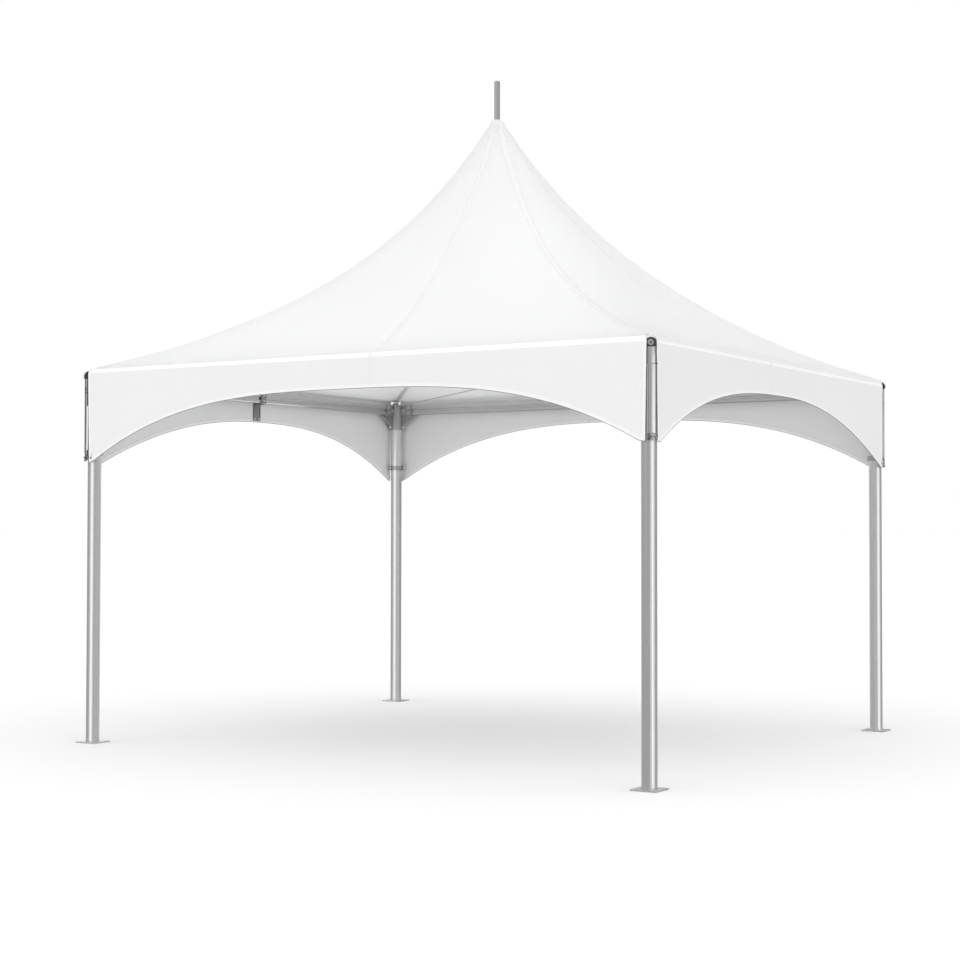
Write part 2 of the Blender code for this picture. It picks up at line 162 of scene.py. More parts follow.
class Shape:
    # Gathers solids in a frame of their own, then makes one piece of them
    def __init__(self, base=Matrix.Identity(4)):
        self.base = base
        self.verts = []
        self.faces = []
        self.paints = []

    def add(self, solid, place=Matrix.Identity(4), paint=0):
        verts, faces = solid
        first = len(self.verts)
        turn = self.base @ place
        self.verts += [turn @ Vector(v) for v in verts]
        self.faces += [tuple(first + i for i in face) for face in faces]
        self.paints += [paint] * len(faces)

    def bolt(self, place, flats, height, domed=False):
        # A washer under a head, both in the second paint
        head = button_head(flats * 0.62, height, HEAD_BASE) if domed else hex_head(flats, height, HEAD_BASE)
        self.add(washer(flats * 0.85, flats * 0.2, WASHER_T), place, 1)
        self.add(head, place, 1)

    def piece(self, name, paints, sharp=35):
        mesh = bpy.data.meshes.new(name)
        mesh.from_pydata([tuple(v) for v in self.verts], [], self.faces)
        for paint in paints:
            mesh.materials.append(paint)
        for polygon, paint in zip(mesh.polygons, self.paints):
            polygon.material_index = paint
        editor = bmesh.new()
        editor.from_mesh(mesh)
        bmesh.ops.recalc_face_normals(editor, faces=editor.faces)
        editor.to_mesh(mesh)
        editor.free()
        mesh.shade_smooth()
        mesh.set_sharp_from_angle(angle=radians(sharp))
        made = linked(name, mesh)
        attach(made, "root")
        return made


def polar(radius, degrees):
    turn = radians(degrees)
    return radius * cos(turn), radius * sin(turn)


def loft(rings, closed=False):
    # Equal rings of points joined into one solid: closed to the first, or capped at both ends
    count = len(rings[0])
    total = len(rings) * count
    faces = []
    for low in range(0, total if closed else total - count, count):
        high = (low + count) % total
        for i in range(count):
            j = (i + 1) % count
            faces.append((low + i, low + j, high + j, high + i))
    if not closed:
        faces.append(tuple(range(count)))
        faces.append(tuple(range(total - count, total)))
    return [point for ring in rings for point in ring], faces


def lathe(profile, sides=24, closed=False):
    # A profile of (radius, height) turned about z; open profiles are capped at both ends
    return loft([[(*polar(radius, 360 * k / sides), height) for k in range(sides)]
                 for radius, height in profile], closed)


def prism(outline, sections):
    # An (x, y) outline lofted through sections of (height, scale)
    return loft([[(x * scale, y * scale, z) for x, y in outline] for z, scale in sections])


def rounded_box(size_x, size_y, low, high, radius=0.002, steps=3):
    # An upright box with rounded corners and bevelled ends
    outline = []
    for side_x, side_y, start in ((1, 1, 0), (-1, 1, 90), (-1, -1, 180), (1, -1, 270)):
        for step in range(steps + 1):
            x, y = polar(radius, start + 90 * step / steps)
            outline.append((side_x * (size_x / 2 - radius) + x, side_y * (size_y / 2 - radius) + y))
    bevel = radius * 0.6
    levels = ((low, bevel), (low + bevel, 0.0), (high - bevel, 0.0), (high, bevel))
    return loft([[(x * (1 - 2 * inset / size_x), y * (1 - 2 * inset / size_y), z) for x, y in outline]
                 for z, inset in levels])


def swept(path, radius, sides):
    # A round rod along a path of points
    rings = []
    side = None
    for i, point in enumerate(path):
        along = (Vector(path[min(i + 1, len(path) - 1)]) - Vector(path[max(i - 1, 0)])).normalized()
        if side is None:
            side = along.orthogonal().normalized()
        side = (side - along * side.dot(along)).normalized()
        other = along.cross(side)
        turns = [2 * pi * k / sides for k in range(sides)]
        rings.append([Vector(point) + (side * cos(a) + other * sin(a)) * radius for a in turns])
    return loft(rings)


def strip_ring(points, normals, section, sunk):
    # A section over the cloth, and back under it
    over = [point + normal * rise for point, normal, (off, rise) in zip(points, normals, section)]
    return over + [point - normal * sunk for point, normal in zip(points[::-1], normals[::-1])]


# Bolts: heads stand on a washer. A hexagon's rings are shares of its height, each with the limit
# that rounds off its six corners.
WASHER_T = 0.0016
HEAD_BASE = 0.0014
HEX_RINGS = ((0.0, 0.97), (0.06, 1.0), (0.78, 1.0), (1.0, 0.86), (1.0, 0.62), (0.93, 0.55))
HEX_FULL = 0.97


def washer(radius, hole, thick):
    edge = thick * 0.3
    profile = [(hole, 0.0), (radius, 0.0), (radius, thick - edge), (radius - edge, thick), (hole, thick)]
    return lathe(profile, closed=True)


def hex_head(flats, height, base=0.0):
    def reach(turn, limit):
        radius = min(flats / 2 / cos(radians(turn % 60 - 30)), flats / sqrt(3))
        return radius * limit if limit >= HEX_FULL else min(radius, flats / 2 * limit * 1.1)

    return loft([[(*polar(reach(turn, limit), turn), base + share * height) for turn in range(0, 360, 15)]
                 for share, limit in HEX_RINGS])


def button_head(radius, height, base=0.0, socket=0.45):
    # A low domed head with a round socket
    profile = [(radius * 0.96, base), (radius, base + height * 0.15)]
    for step in range(1, 6):
        out, up = polar(1.0, 15 + 14 * step)
        profile.append((radius * out / cos(radians(15)), base + height * up))
    rim = radius * socket
    profile = [point for point in profile if point[0] > rim * 1.1]
    profile += [(rim, base + height), (rim * 0.9, base + height * 0.9), (rim * 0.85, base + height * 0.35)]
    return lathe(profile)


# Materials

class Tree:
    # A node tree with a short form for nodes: each value is a setting, the value of an input, or
    # the output that is linked to an input
    def __init__(self, tree):
        self.nodes = tree.nodes
        self.links = tree.links

    def set(self, node, values):
        for key, value in values.items():
            if isinstance(value, bpy.types.NodeSocket):
                self.links.new(value, node.inputs[key])
            elif isinstance(key, int) or key in node.inputs:
                node.inputs[key].default_value = value
            else:
                setattr(node, key, value)
        return node.outputs

    def add(self, kind, values=None):
        return self.set(self.nodes.new("ShaderNode" + kind), values or {})

    def vary(self, shader, tone, dull, low, high, roughs):
        # The shader's colour follows one pattern and its roughness another
        tint = self.add("Mix", {"data_type": "RGBA", 0: tone, 6: (*low, 1.0), 7: (*high, 1.0)})
        rough = self.add("MapRange", {"Value": dull, "To Min": roughs[0], "To Max": roughs[1]})
        self.set(shader, {"Base Color": tint[2], "Roughness": rough["Result"]})

    def bump(self, shader, height, strength, distance):
        bump = self.add("Bump", {"Strength": strength, "Distance": distance, "Height": height})
        self.set(shader, {"Normal": bump[0]})


def new_paint(name, colour, rough, metallic=0.0):
    # The material, its tree, its shader and the coordinates
    paint = bpy.data.materials.new(name)
    paint.use_nodes = True
    tree = Tree(paint.node_tree)
    shader = tree.nodes["Principled BSDF"]
    tree.set(shader, {"Base Color": (*colour, 1.0), "Roughness": rough, "Metallic": metallic})
    return paint, tree, shader, tree.add("TexCoord")


def grained(name, colour, rough, metallic, scale, low, high, smoother, rougher):
    # A material whose colour and roughness follow one noise in object space
    paint, tree, shader, place = new_paint(name, colour, rough, metallic)
    mapping = tree.add("Mapping", {"Vector": place["Object"], "Scale": scale})
    settings = {"Scale": 1.0, "Detail": 5.0, "Roughness": 0.6}
    grain = tree.add("TexNoise", {"Vector": mapping[0], **settings})["Fac"]
    tree.vary(shader, grain, grain, low, high, (rough - smoother, rough + rougher))
    return paint, tree, shader, place["Object"], grain


def cool(grey, shift):
    return grey + shift, grey + shift, grey + shift + 0.005


def extruded(name, axis, colour, rough):
    # Drawn aluminium: fine die lines along its length, a little cloudy
    scale = [1.6 if way == axis else 160.0 for way in "xyz"]
    paint, tree, shader, place, grain = grained(
        name, [colour] * 3, rough, 1.0, scale, cool(colour, -0.05), cool(colour, 0.05), 0.05, 0.07)
    cloud = tree.add("TexNoise", {"Vector": place, "Scale": 2.5, "Detail": 3.0})
    both = tree.add("Math", {"operation": "MULTIPLY", 0: grain, 1: cloud["Fac"]})
    tree.bump(shader, both[0], 0.12, 0.0004)
    return paint


def cast_metal(name, colour, rough=0.42):
    # Sand-cast aluminium: a pebbled skin and a cloudy tone
    paint, tree, shader, place, grain = grained(
        name, [colour] * 3, rough, 1.0, [90.0] * 3, cool(colour, -0.10), cool(colour, 0.06), 0.08, 0.12)
    pebble = tree.add("TexVoronoi", {"Vector": place, "Scale": 520.0})
    tree.bump(shader, pebble["Distance"], 0.25, 0.0006)
    return paint


def galvanised(name, colour):
    # Hot-dip zinc: a spangle of flat crystals and dull patches
    paint, tree, shader, place = new_paint(name, [colour] * 3, 0.45, 1.0)
    spangle = tree.add("TexVoronoi", {"Vector": place["Object"], "Scale": 95.0})
    dull = tree.add("TexNoise", {"Vector": place["Object"], "Scale": 14.0, "Detail": 4.0})
    tone = tree.add("SeparateColor", {"Color": spangle["Color"]})
    low = (colour - 0.14, colour - 0.135, colour - 0.13)
    high = (colour + 0.08, colour + 0.085, colour + 0.09)
    tree.vary(shader, tone["Red"], dull["Fac"], low, high, (0.34, 0.58))
    tree.bump(shader, dull["Fac"], 0.2, 0.0008)
    return paint


def coated_cloth(name, white, rough=0.50, through=0.0):
    # Coated polyester: a fine scrim showing through a smooth white skin. Through is the share of
    # the light that a face passes on, so that daylight glows in the roof seen from below.
    paint, tree, shader, place = new_paint(name, white, rough)
    cloud = tree.add("TexNoise", {"Vector": place["Object"], "Scale": 1.7, "Detail": 6.0, "Roughness": 0.55})
    low = [part - 0.010 for part in white]
    high = [part + 0.010 for part in white]
    tree.vary(shader, cloud["Fac"], cloud["Fac"], low, high, (rough - 0.06, rough + 0.06))
    threads = []
    for way in ("X", "Y"):
        wave = {"wave_type": "BANDS", "bands_direction": way, "Scale": 190.0, "Distortion": 0.3}
        threads.append(tree.add("TexWave", {"Vector": place["UV"], **wave})["Fac"])
    weave = tree.add("Math", {"operation": "MAXIMUM", 0: threads[0], 1: threads[1]})
    tree.bump(shader, weave[0], 0.10, 0.0003)
    tree.set(shader, {"Specular IOR Level": 0.35})
    if through:
        passed = tree.add("BsdfTranslucent", {"Color": (*white, 1.0)})
        blend = tree.add("MixShader", {0: through, 1: shader.outputs[0], 2: passed[0]})
        tree.set(tree.nodes["Material Output"], {"Surface": blend[0]})
    return paint


def plain_noise(name, colour, rough, spread, size, metallic=0.0, bump=0.15):
    low = [max(part - spread, 0.0) for part in colour]
    high = [part + spread for part in colour]
    paint, tree, shader, place, grain = grained(
        name, colour, rough, metallic, [size] * 3, low, high, 0.08, 0.08)
    tree.bump(shader, grain, bump, 0.0003)
    return paint


tube_metal = extruded("tube_metal", "z", 0.80, 0.33)
track_metal = extruded("track_metal", "z", 0.78, 0.33)
rail_metal_x = extruded("rail_metal_x", "x", 0.62, 0.34)
rail_metal_y = extruded("rail_metal_y", "y", 0.62, 0.34)
cast = cast_metal("cast_metal", 0.50)
# Dark cast metal, also laid on the track's tongue and the foot's body as painted shade
cast_dark = cast_metal("cast_dark", 0.34, 0.46)
plate_zinc = galvanised("plate_zinc", 0.84)
bolt_zinc = plain_noise("bolt_zinc", (0.70, 0.70, 0.69), 0.30, 0.05, 400.0, 1.0)
strand_steel = plain_noise("strand_steel", (0.58, 0.58, 0.59), 0.34, 0.06, 500.0, 1.0)
weld_metal = plain_noise("weld_metal", (0.50, 0.50, 0.50), 0.42, 0.08, 220.0, 1.0, 0.3)
# Near black rubber on the joint's gasket and the foot's knob; elsewhere the same black is painted shade and
# dark reflection
rubber = plain_noise("rubber", (0.035, 0.035, 0.037), 0.62, 0.010, 260.0)
cloth = coated_cloth("cloth", (0.944, 0.946, 0.948), through=0.40)
cloth_valance = coated_cloth("cloth_valance", (0.800, 0.802, 0.804))
cloth_lap = coated_cloth("cloth_lap", (0.795, 0.797, 0.799))
# The valances' inner face: partly the coating's greyer back, partly painted shade inside the tent
cloth_inner = coated_cloth("cloth_inner", (0.765, 0.767, 0.769))
# The fold's double cloth, painted whiter: partly the brighter double layer, partly a painted highlight along
# the eaves
cloth_fold = coated_cloth("cloth_fold", (0.920, 0.921, 0.923), 0.44)
cloth_double = coated_cloth("cloth_double", (0.865, 0.866, 0.868), 0.44)
# A dark grey cord: painted shade under the arch hems' edges
piping = plain_noise("piping", (0.20, 0.20, 0.205), 0.6, 0.02, 600.0)
thread = plain_noise("thread", (0.78, 0.78, 0.78), 0.75, 0.03, 900.0)


# The cloth's surface

# Section of the fold, from the roof down to the valance: how far in and up from the eave edge
FOLD = ((0.0126, 0.0188), (0.0102, 0.0182), (0.0084, 0.0165), (0.0062, 0.0125), (0.0040, 0.0080),
        (0.0020, 0.0040), (0.0007, 0.0013), (0.0001, -0.0010))
CREST = 3                # the steps up to this one make the fold's crest
# How much further the fold's double cloth hangs down, at the left and right end of each side
FOLD_DROPS = {"front": (0.005, 0.012), "right": (0.019, 0.030),
              "back": (0.012, 0.012), "left": (0.012, 0.012)}
# Rows of the short sides' folds painted in the valance's darker tone, so that only their lower part carries
# the fold's painted highlight
PLAIN_CREST = [(side, ("fold", step)) for side in ("right", "left") for step in range(CREST + 2)]


def roof_height(share):
    rise = 1.0 / (share + SAG) - 1.0 / (1.0 + SAG)
    whole = 1.0 / (PEAK_S + SAG) - 1.0 / (1.0 + SAG)
    return EAVE_Z + (PEAK_Z - EAVE_Z) * rise / whole


def bulge(share, across):
    # How far out of a straight line a level section of the roof runs: round at the peak, straight
    # at the eaves
    part = share / ROUND_END
    if part >= 1.0:
        return 1.0
    power = 2.0 + ROUND_GAIN * part / (1.0 - part) ** ROUND_POWER
    return (2.0 / (1.0 + abs(across) ** power)) ** (1.0 / power)


def smooth(value):
    value = min(max(value, 0.0), 1.0)
    return value * value * (3 - 2 * value)


def roof_lift(share):
    # Raises the cloth near the eaves to meet the top of the fold
    rest = EAVE_Z + FOLD_UP - roof_height(FOLD_TOP)
    return rest * smooth((share - LIFT_FROM) / (FOLD_TOP - LIFT_FROM))


def fold_drop(side, across):
    left, right = FOLD_DROPS[side]
    return left + (right - left) * (across + 1.0) / 2.0


def full_cut(side, across):
    return SLOT_CUTS[CORNER_AT[side, 1 if across > 0 else -1]]


def slot_cut(side, across, share):
    # How far back from the hip the slot's edge lies, on a row of the roof
    if share <= SLOT_FROM:
        return 0.0
    along = min((share - SLOT_FROM) / (1.0 - SLOT_FROM) / SLOT_ROUND, 1.0)
    return full_cut(side, across) * sqrt(1.0 - (1.0 - along) ** 2)


def fan(seed, count, spread, height, width, length):
    # Wrinkles that fan out from a corner. Each has an angle from the middle of the fan, a height,
    # a width and a length.
    draw = random.Random(seed)
    folds = []
    for k in range(count):
        angle = spread * (2 * (k + draw.uniform(0.1, 0.9)) / count - 1)
        sign = 1 if draw.random() < 0.6 else -1
        folds.append((angle, sign * height * draw.uniform(0.5, 1.0), width * draw.uniform(0.8, 1.3),
                      length * draw.uniform(0.6, 1.2)))
    return folds


FAN_REACH = 1.2          # how far the roof's wrinkles run from a corner, and the valances'
VALANCE_FAN_REACH = 0.9
TOP_SPREAD = 0.62
FOOT_SPREAD = 0.50
# Slow unevenness of the cloth, in two sizes: height, waves a metre (along and down on a valance),
# and the slice of the noise
ROOF_WAVES = ((0.0045, 1.3, 4.7), (0.0018, 3.4, 9.1))
VALANCE_WAVES = ((0.0040, 2.1, 1.1, 0.0), (0.0016, 6.0, 2.0, 1.5))
ROOF_FANS = {}
TOP_FANS = {}            # on the side that ends at the corner, then on the one that starts there
FOOT_FANS = {}
for i, name in enumerate(CORNERS):
    ROOF_FANS[name] = fan(11 + i, 9, 1.15, 0.0024, 0.011, 0.34)
    TOP_FANS[name] = [fan(seed + i, 6, TOP_SPREAD, 0.0022, 0.010, 0.20) for seed in (31, 41)]
    FOOT_FANS[name] = [fan(seed + i, 5, FOOT_SPREAD, 0.0022, 0.009, 0.24) for seed in (51, 61)]


def fan_height(folds, distance, angle):
    total = 0.0
    start = smooth(distance / 0.07)
    for at, height, width, length in folds:
        off = (angle - at) * distance / (width + 0.08 * distance)
        if abs(off) < 3.0:
            total += height * exp(-off * off) * exp(-distance / length) * start
    return total


def roof_ripple(point, share):
    # Upward shift of the roof's cloth
    ease = smooth((share - 0.12) / 0.25) * smooth((FOLD_TOP - share) / 0.03)
    total = sum(height * noise.noise(Vector((point.x * fine, point.y * fine, at)))
                for height, fine, at in ROOF_WAVES)
    for name, (side_x, side_y, degrees) in CORNERS.items():
        corner = Vector((side_x * EAVE_X, side_y * EAVE_Y)) * SLOT_FROM
        away = corner - point.xy
        if away.length < FAN_REACH:
            hip = atan2(corner.y, corner.x)
            angle = (atan2(away.y, away.x) - hip + pi) % (2 * pi) - pi
            total += fan_height(ROOF_FANS[name], away.length, angle)
    return total * ease


def valance_ripple(side, x, z, arch):
    # Outward shift of a valance's cloth; x runs along the eave
    seed = 3.0 * list(SIDES).index(side)
    depth = (EAVE_Z - z) / (EAVE_Z - arch)
    ease = smooth(depth / 0.12) * smooth((1.02 - depth) / 0.25)
    total = sum(height * noise.noise(Vector((x * along, z * down, seed + at)))
                for height, along, down, at in VALANCE_WAVES)
    for fans, end in enumerate((1, -1)):
        name = CORNER_AT[side, end]
        in_x = SIDES[side][0] - SLOT_CUTS[name] - end * x
        if in_x < VALANCE_FAN_REACH:
            top = Vector((in_x + 0.02, EAVE_Z + 0.03 - z))
            total += fan_height(TOP_FANS[name][fans], top.length, atan2(top.x, top.y) - TOP_SPREAD)
            foot = Vector((in_x + 0.015, z - TIPS[name] + 0.02))
            total += fan_height(FOOT_FANS[name][fans], foot.length, atan2(foot.x, foot.y) - FOOT_SPREAD)
            total += 0.0022 * exp(-((in_x - 0.030) / 0.010) ** 2)
    return total * ease


def arch_height(side, x):
    top, left, right = ARCHES[side]
    end, power = right if x > 0 else left
    reach = SIDES[side][0] - CLOTH_OUT + 0.003 - TIP_FLAT
    return top - (top - end) * (min(abs(x), reach) / reach) ** power


def canopy_rows():
    # Each row is its kind and its place: a share of the eave on the roof, a step of the fold, or
    # a depth on the valance
    shares = [PEAK_S + (CORNER_FROM - PEAK_S) * (step / UPPER_ROWS) ** 1.25 for step in range(UPPER_ROWS)]
    shares += [CORNER_FROM + (SLOT_FROM - CORNER_FROM) * step / CORNER_ROWS for step in range(CORNER_ROWS)]
    straight = SLOT_FROM + (1.0 - SLOT_FROM) * SLOT_ROUND
    for step in range(SLOT_ROWS):
        turn = pi / 2 * step / SLOT_ROWS
        shares.append(SLOT_FROM + (1.0 - SLOT_FROM) * SLOT_ROUND * (1 - cos(turn)))
    shares += [straight, (straight + FOLD_TOP) / 2, FOLD_TOP]
    rows = [("roof", share) for share in shares]
    rows += [("fold", step) for step in range(len(FOLD))]
    rows += [("valance", step / VALANCE_ROWS) for step in range(1, VALANCE_ROWS + 1)]
    return rows


def row_point(side, row, across):
    # The outer face of the cloth; across runs from -1 at one edge of the row to 1 at the other
    eave_x, eave_y, degrees, seam = SIDES[side]
    kind, value = row
    if kind == "roof":
        reach = across * (1.0 - slot_cut(side, across, value) / (value * eave_x))
        out = bulge(value, reach) * value
        z = roof_height(value) + roof_lift(value)
        point = TURNS[side] @ Vector((out * reach * eave_x, -out * eave_y, z))
        point.z += roof_ripple(point, value)
        return point
    if kind == "fold":
        inset, rise = FOLD[value]
        x = across * (eave_x * (1.0 - inset / EAVE_Y) - full_cut(side, across))
        down = fold_drop(side, across) * max(value - CREST, 0) / (len(FOLD) - 1 - CREST)
        return TURNS[side] @ Vector((x, -eave_y * (1.0 - inset / EAVE_Y), EAVE_Z + rise - down))
    x = across * (eave_x - full_cut(side, across))
    arch = arch_height(side, x)
    top = EAVE_Z + FOLD[-1][1] - fold_drop(side, across)
    z = top + (arch - top) * value
    x *= 1.0 - SLOT_FLARE / eave_x * (EAVE_Z - z) / VALANCE_DROP
    return TURNS[side] @ Vector((x, -eave_y - valance_ripple(side, x, z, arch), z))


ROWS = canopy_rows()


def column_at(k):
    even = 2 * k / COLUMNS - 1
    return 0.75 * sin(pi / 2 * even) + 0.25 * even


def make_canopy():
    # All four sides in one sheet, joined along the hips. Its map holds the way along each row and
    # down each column.
    editor = bmesh.new()
    flat = editor.loops.layers.uv.new("cut")
    for side in SIDES:
        grid = []
        places = {}
        run = [0.0] * (COLUMNS + 1)
        above = None
        for row in ROWS:
            line = [row_point(side, row, column_at(k)) for k in range(COLUMNS + 1)]
            across = 0.0
            made = []
            for k, point in enumerate(line):
                if above:
                    run[k] += (point - above[k]).length
                across += (point - line[k - 1]).length if k else 0.0
                vert = editor.verts.new(point)
                places[vert] = (across, run[k])
                made.append(vert)
            for vert in made:
                places[vert] = (places[vert][0] - across / 2, places[vert][1])
            grid.append(made)
            above = line
        for upper, lower, row, below in zip(grid, grid[1:], ROWS, ROWS[1:]):
            kind = "valance" if below[0] == "valance" or (side, row) in PLAIN_CREST else row[0]
            for k in range(COLUMNS):
                face = editor.faces.new((upper[k], lower[k], lower[k + 1], upper[k + 1]))
                face.smooth = True
                face.material_index = ("roof", "fold", "valance").index(kind)
                for loop in face.loops:
                    loop[flat].uv = places[loop.vert]
    bmesh.ops.remove_doubles(editor, verts=editor.verts, dist=0.00005)
    editor.normal_update()
    mesh = bpy.data.meshes.new("canopy")
    editor.to_mesh(mesh)
    editor.free()
    for paint in (cloth, cloth_fold, cloth_valance, cloth, cloth_fold, cloth_inner):
        mesh.materials.append(paint)
    canopy = linked("canopy", mesh)
    shell = canopy.modifiers.new("thickness", "SOLIDIFY")
    shell.thickness = CLOTH_T
    shell.offset = -1.0
    shell.use_even_offset = True
    shell.material_offset = 3
    bpy.context.view_layer.update()
    seen = canopy.evaluated_get(bpy.context.evaluated_depsgraph_get())
    solid = bpy.data.meshes.new_from_object(seen)
    canopy.modifiers.clear()
    canopy.data = solid
    solid.shade_smooth()
    solid.set_sharp_from_angle(angle=radians(50))
    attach(canopy, "root")
    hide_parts(*("roof_panel_" + side for side in SIDES), *("valance_" + side for side in SIDES))
    return canopy


# Hems, strips and seams

LAST = ROWS[-1]
SHADE_PIPING_R = 0.0019
TENT_MIDDLE = 1.6        # height of the point that every outer face looks away from
# Shares of the hem's width into the cloth, heights over its outer face, and shifts inwards
HEM_SECTION = ((1.0, 0.0004, 0), (1.0, 0.0016, -0.0012), (0.0, 0.0018, 0), (0.0, 0.0012, -0.0022),
               (0.0, -0.0010, -0.0032), (0.0, -0.0032, -0.0022), (0.0, -0.0038, 0),
               (1.0, -0.0034, -0.0012), (1.0, -0.0024, 0))
# Shares of the half width from the middle, and heights over the cloth
STRIP_SECTION = ((1.0, 0.0002), (0.96, 0.0014), (0.5, 0.0017), (0.0, 0.0018))
LAP_SECTION = ((-1.0, 0.0004), (-0.8, 0.0015), (0.8, 0.0016), (1.0, 0.0004))
# Distances from the middle, and heights over the cloth
LINE_SECTION = ((-0.0014, 0.0015), (-0.0009, 0.0021), (0.0009, 0.0021), (0.0014, 0.0015))
LAP_SUNK = 0.0008        # how far laps and strips reach into the cloth
STRIP_FROM = 0.030
STRIP_TO = SLOT_FROM - 0.006
STITCH_PITCH = 0.0075
BAND_R = 0.0385


def outward(point, normal):
    away = Vector((point.x, point.y, point.z - TENT_MIDDLE))
    return normal if normal.dot(away) > 0 else -normal


def edge_frame(edge, along, inner):
    # Along an edge, in over the cloth, and out from it
    along = along.normalized()
    inward = inner - edge
    inward = (inward - along * inward.dot(along)).normalized()
    return along, inward, outward(edge, along.cross(inward))


def row_normal(side, row, across, step, upper, lower):
    # Out from the cloth, by two near points along the row and one on each of two rows beside it
    a = row_point(side, row, across - step)
    b = row_point(side, row, across + step)
    slope = row_point(side, lower, across) - row_point(side, upper, across)
    return outward(a, (b - a).cross(slope).normalized())


def hem(shape, edges, inners, width, shade_piped=False):
    # Cloth folded round an edge. A shade-piped hem has a dark cord of painted shade under its edge and a
    # sewn line along its inner face.
    rings = []
    shade_cord = []
    line = []
    for i, edge in enumerate(edges):
        along = edges[min(i + 1, len(edges) - 1)] - edges[max(i - 1, 0)]
        along, inward, normal = edge_frame(edge, along, inners[i])
        rings.append([edge + inward * (share * width + shift) + normal * rise
                      for share, rise, shift in HEM_SECTION])
        shade_cord.append(edge - inward * (SHADE_PIPING_R + 0.0020) - normal * 0.0010)
        line.append(edge + inward * (width - 0.003) - normal * 0.0034)
    shape.add(loft(rings))
    if shade_piped:
        shape.add(swept(shade_cord, SHADE_PIPING_R, 6), paint=1)
        shape.add(swept(line, 0.0009, 4), paint=2)


def make_arch_hem(side):
    shape = Shape()
    places = [2 * k / 120 - 1 for k in range(121)]
    edges = [row_point(side, LAST, at) for at in places]
    inners = [row_point(side, ("valance", 0.94), at) for at in places]
    hem(shape, edges, inners, HEM_W, True)
    return shape.piece("arch_hem_" + side, [cloth_double, piping, thread], 60)


def make_slot_hem(name):
    # Up one side of the slot and down the other
    shape = Shape()
    rows = [row for row in ROWS if row[0] != "roof" or row[1] >= SLOT_FROM]
    before, after = CORNER_SIDES[name]
    stops = [(before, row, 1) for row in reversed(rows)] + [(after, row, -1) for row in rows[1:]]
    edges = [row_point(side, row, end) for side, row, end in stops]
    inners = [row_point(side, row, 0.985 * end) for side, row, end in stops]
    inners[len(rows) - 1] = row_point(before, ("roof", SLOT_FROM - 0.01), 1.0)
    hem(shape, edges, inners, SLOT_HEM_W)
    return shape.piece("slot_hem_" + name, [cloth_double], 60)


def make_hip_strip(name):
    # A cover strip over each hip, from the peak to the slot
    before, after = CORNER_SIDES[name]
    section = STRIP_SECTION + STRIP_SECTION[-2::-1]
    middle = len(STRIP_SECTION)
    rings = []
    for k in range(91):
        share = STRIP_FROM + (STRIP_TO - STRIP_FROM) * (k / 90) ** 1.15
        upper, row, lower = [("roof", share + nudge) for nudge in (-0.002, 0.0, 0.002)]
        points = []
        normals = []
        for i, (off, rise) in enumerate(section):
            side, end = (before, 1) if i < middle else (after, -1)
            spread = share * SIDES[side][0]
            across = end * (1.0 - off * min(STRIP_HALF, 0.30 * spread) / spread)
            points.append(row_point(side, row, across))
            normals.append(row_normal(side, row, end * min(abs(across), 0.99), 0.004, upper, lower))
        rings.append(strip_ring(points, normals, section, LAP_SUNK))
    shape = Shape()
    shape.add(loft(rings))
    return shape.piece("hip_strip_" + name, [cloth_lap], 60)


def make_seam(side):
    # A lapped seam from the peak to the arch, with its line of thread
    eave_x, eave_y, degrees, seam = SIDES[side]
    laps = []
    lines = []
    for index, row in enumerate(ROWS[2:], 2):
        spread = (row[1] if row[0] == "roof" else 1.0) * eave_x
        half = min(SEAM_HALF, 0.1 * spread)
        normal = row_normal(side, row, seam, 0.01, ROWS[index - 1], ROWS[min(index + 1, len(ROWS) - 1)])
        lap = [row_point(side, row, seam + off * half / spread) for off, rise in LAP_SECTION]
        line = [row_point(side, row, seam + (off - 0.55 * half) / spread) for off, rise in LINE_SECTION]
        laps.append(strip_ring(lap, [normal] * 4, LAP_SECTION, LAP_SUNK))
        lines.append(strip_ring(line, [normal] * 4, LINE_SECTION, 0.0))
    hanging = sum(1 for row in ROWS[2:] if row[0] != "valance")
    shape = Shape()
    shape.add(loft(laps[:hanging + 1]))
    shape.add(loft(laps[hanging:]), paint=2)
    shape.add(loft(lines), paint=1)
    return shape.piece("seam_" + side, [cloth_lap, thread, cloth_valance], 60)


def make_stitches(side):
    # Stitches along the arch hem, each bent down into the cloth at both ends
    shape = Shape()
    eave_x = SIDES[side][0]
    count = int(2 * eave_x / STITCH_PITCH)
    for k in range(2, count - 1):
        across = 2 * k / count - 1
        edge = row_point(side, LAST, across)
        ahead = row_point(side, LAST, across + 0.004 / eave_x)
        along, inward, normal = edge_frame(edge, ahead - edge, row_point(side, ("valance", 0.95), across))
        start = edge + inward * (HEM_W - 0.0035) + normal * 0.0016
        stitch = [start + along * step + normal * rise
                  for step, rise in ((0.0003, 0.0), (0.0012, 0.0005), (0.0040, 0.0005), (0.0049, 0.0))]
        shape.add(swept(stitch, 0.0006, 4))
    return shape.piece("stitches_" + side, [thread], 80)


def make_peak_band():
    # Webbing that gathers the cloth's top edge under the collar
    section = ((0.0, 0.030), (0.0045, 0.030), (0.0040, 0.012), (0.0026, 0.002), (-0.0005, 0.0002),
               (-0.004, 0.001), (-0.003, 0.012))
    shape = Shape()
    shape.add(lathe([(BAND_R + out, PEAK_Z - down) for out, down in section], 64, closed=True))
    return shape.piece("peak_band", [cloth_double], 40)


# Corner hardware, drawn in each corner's own frame: x out along the diagonal, y to the right
# of it seen from outside, z up, origin under the leg

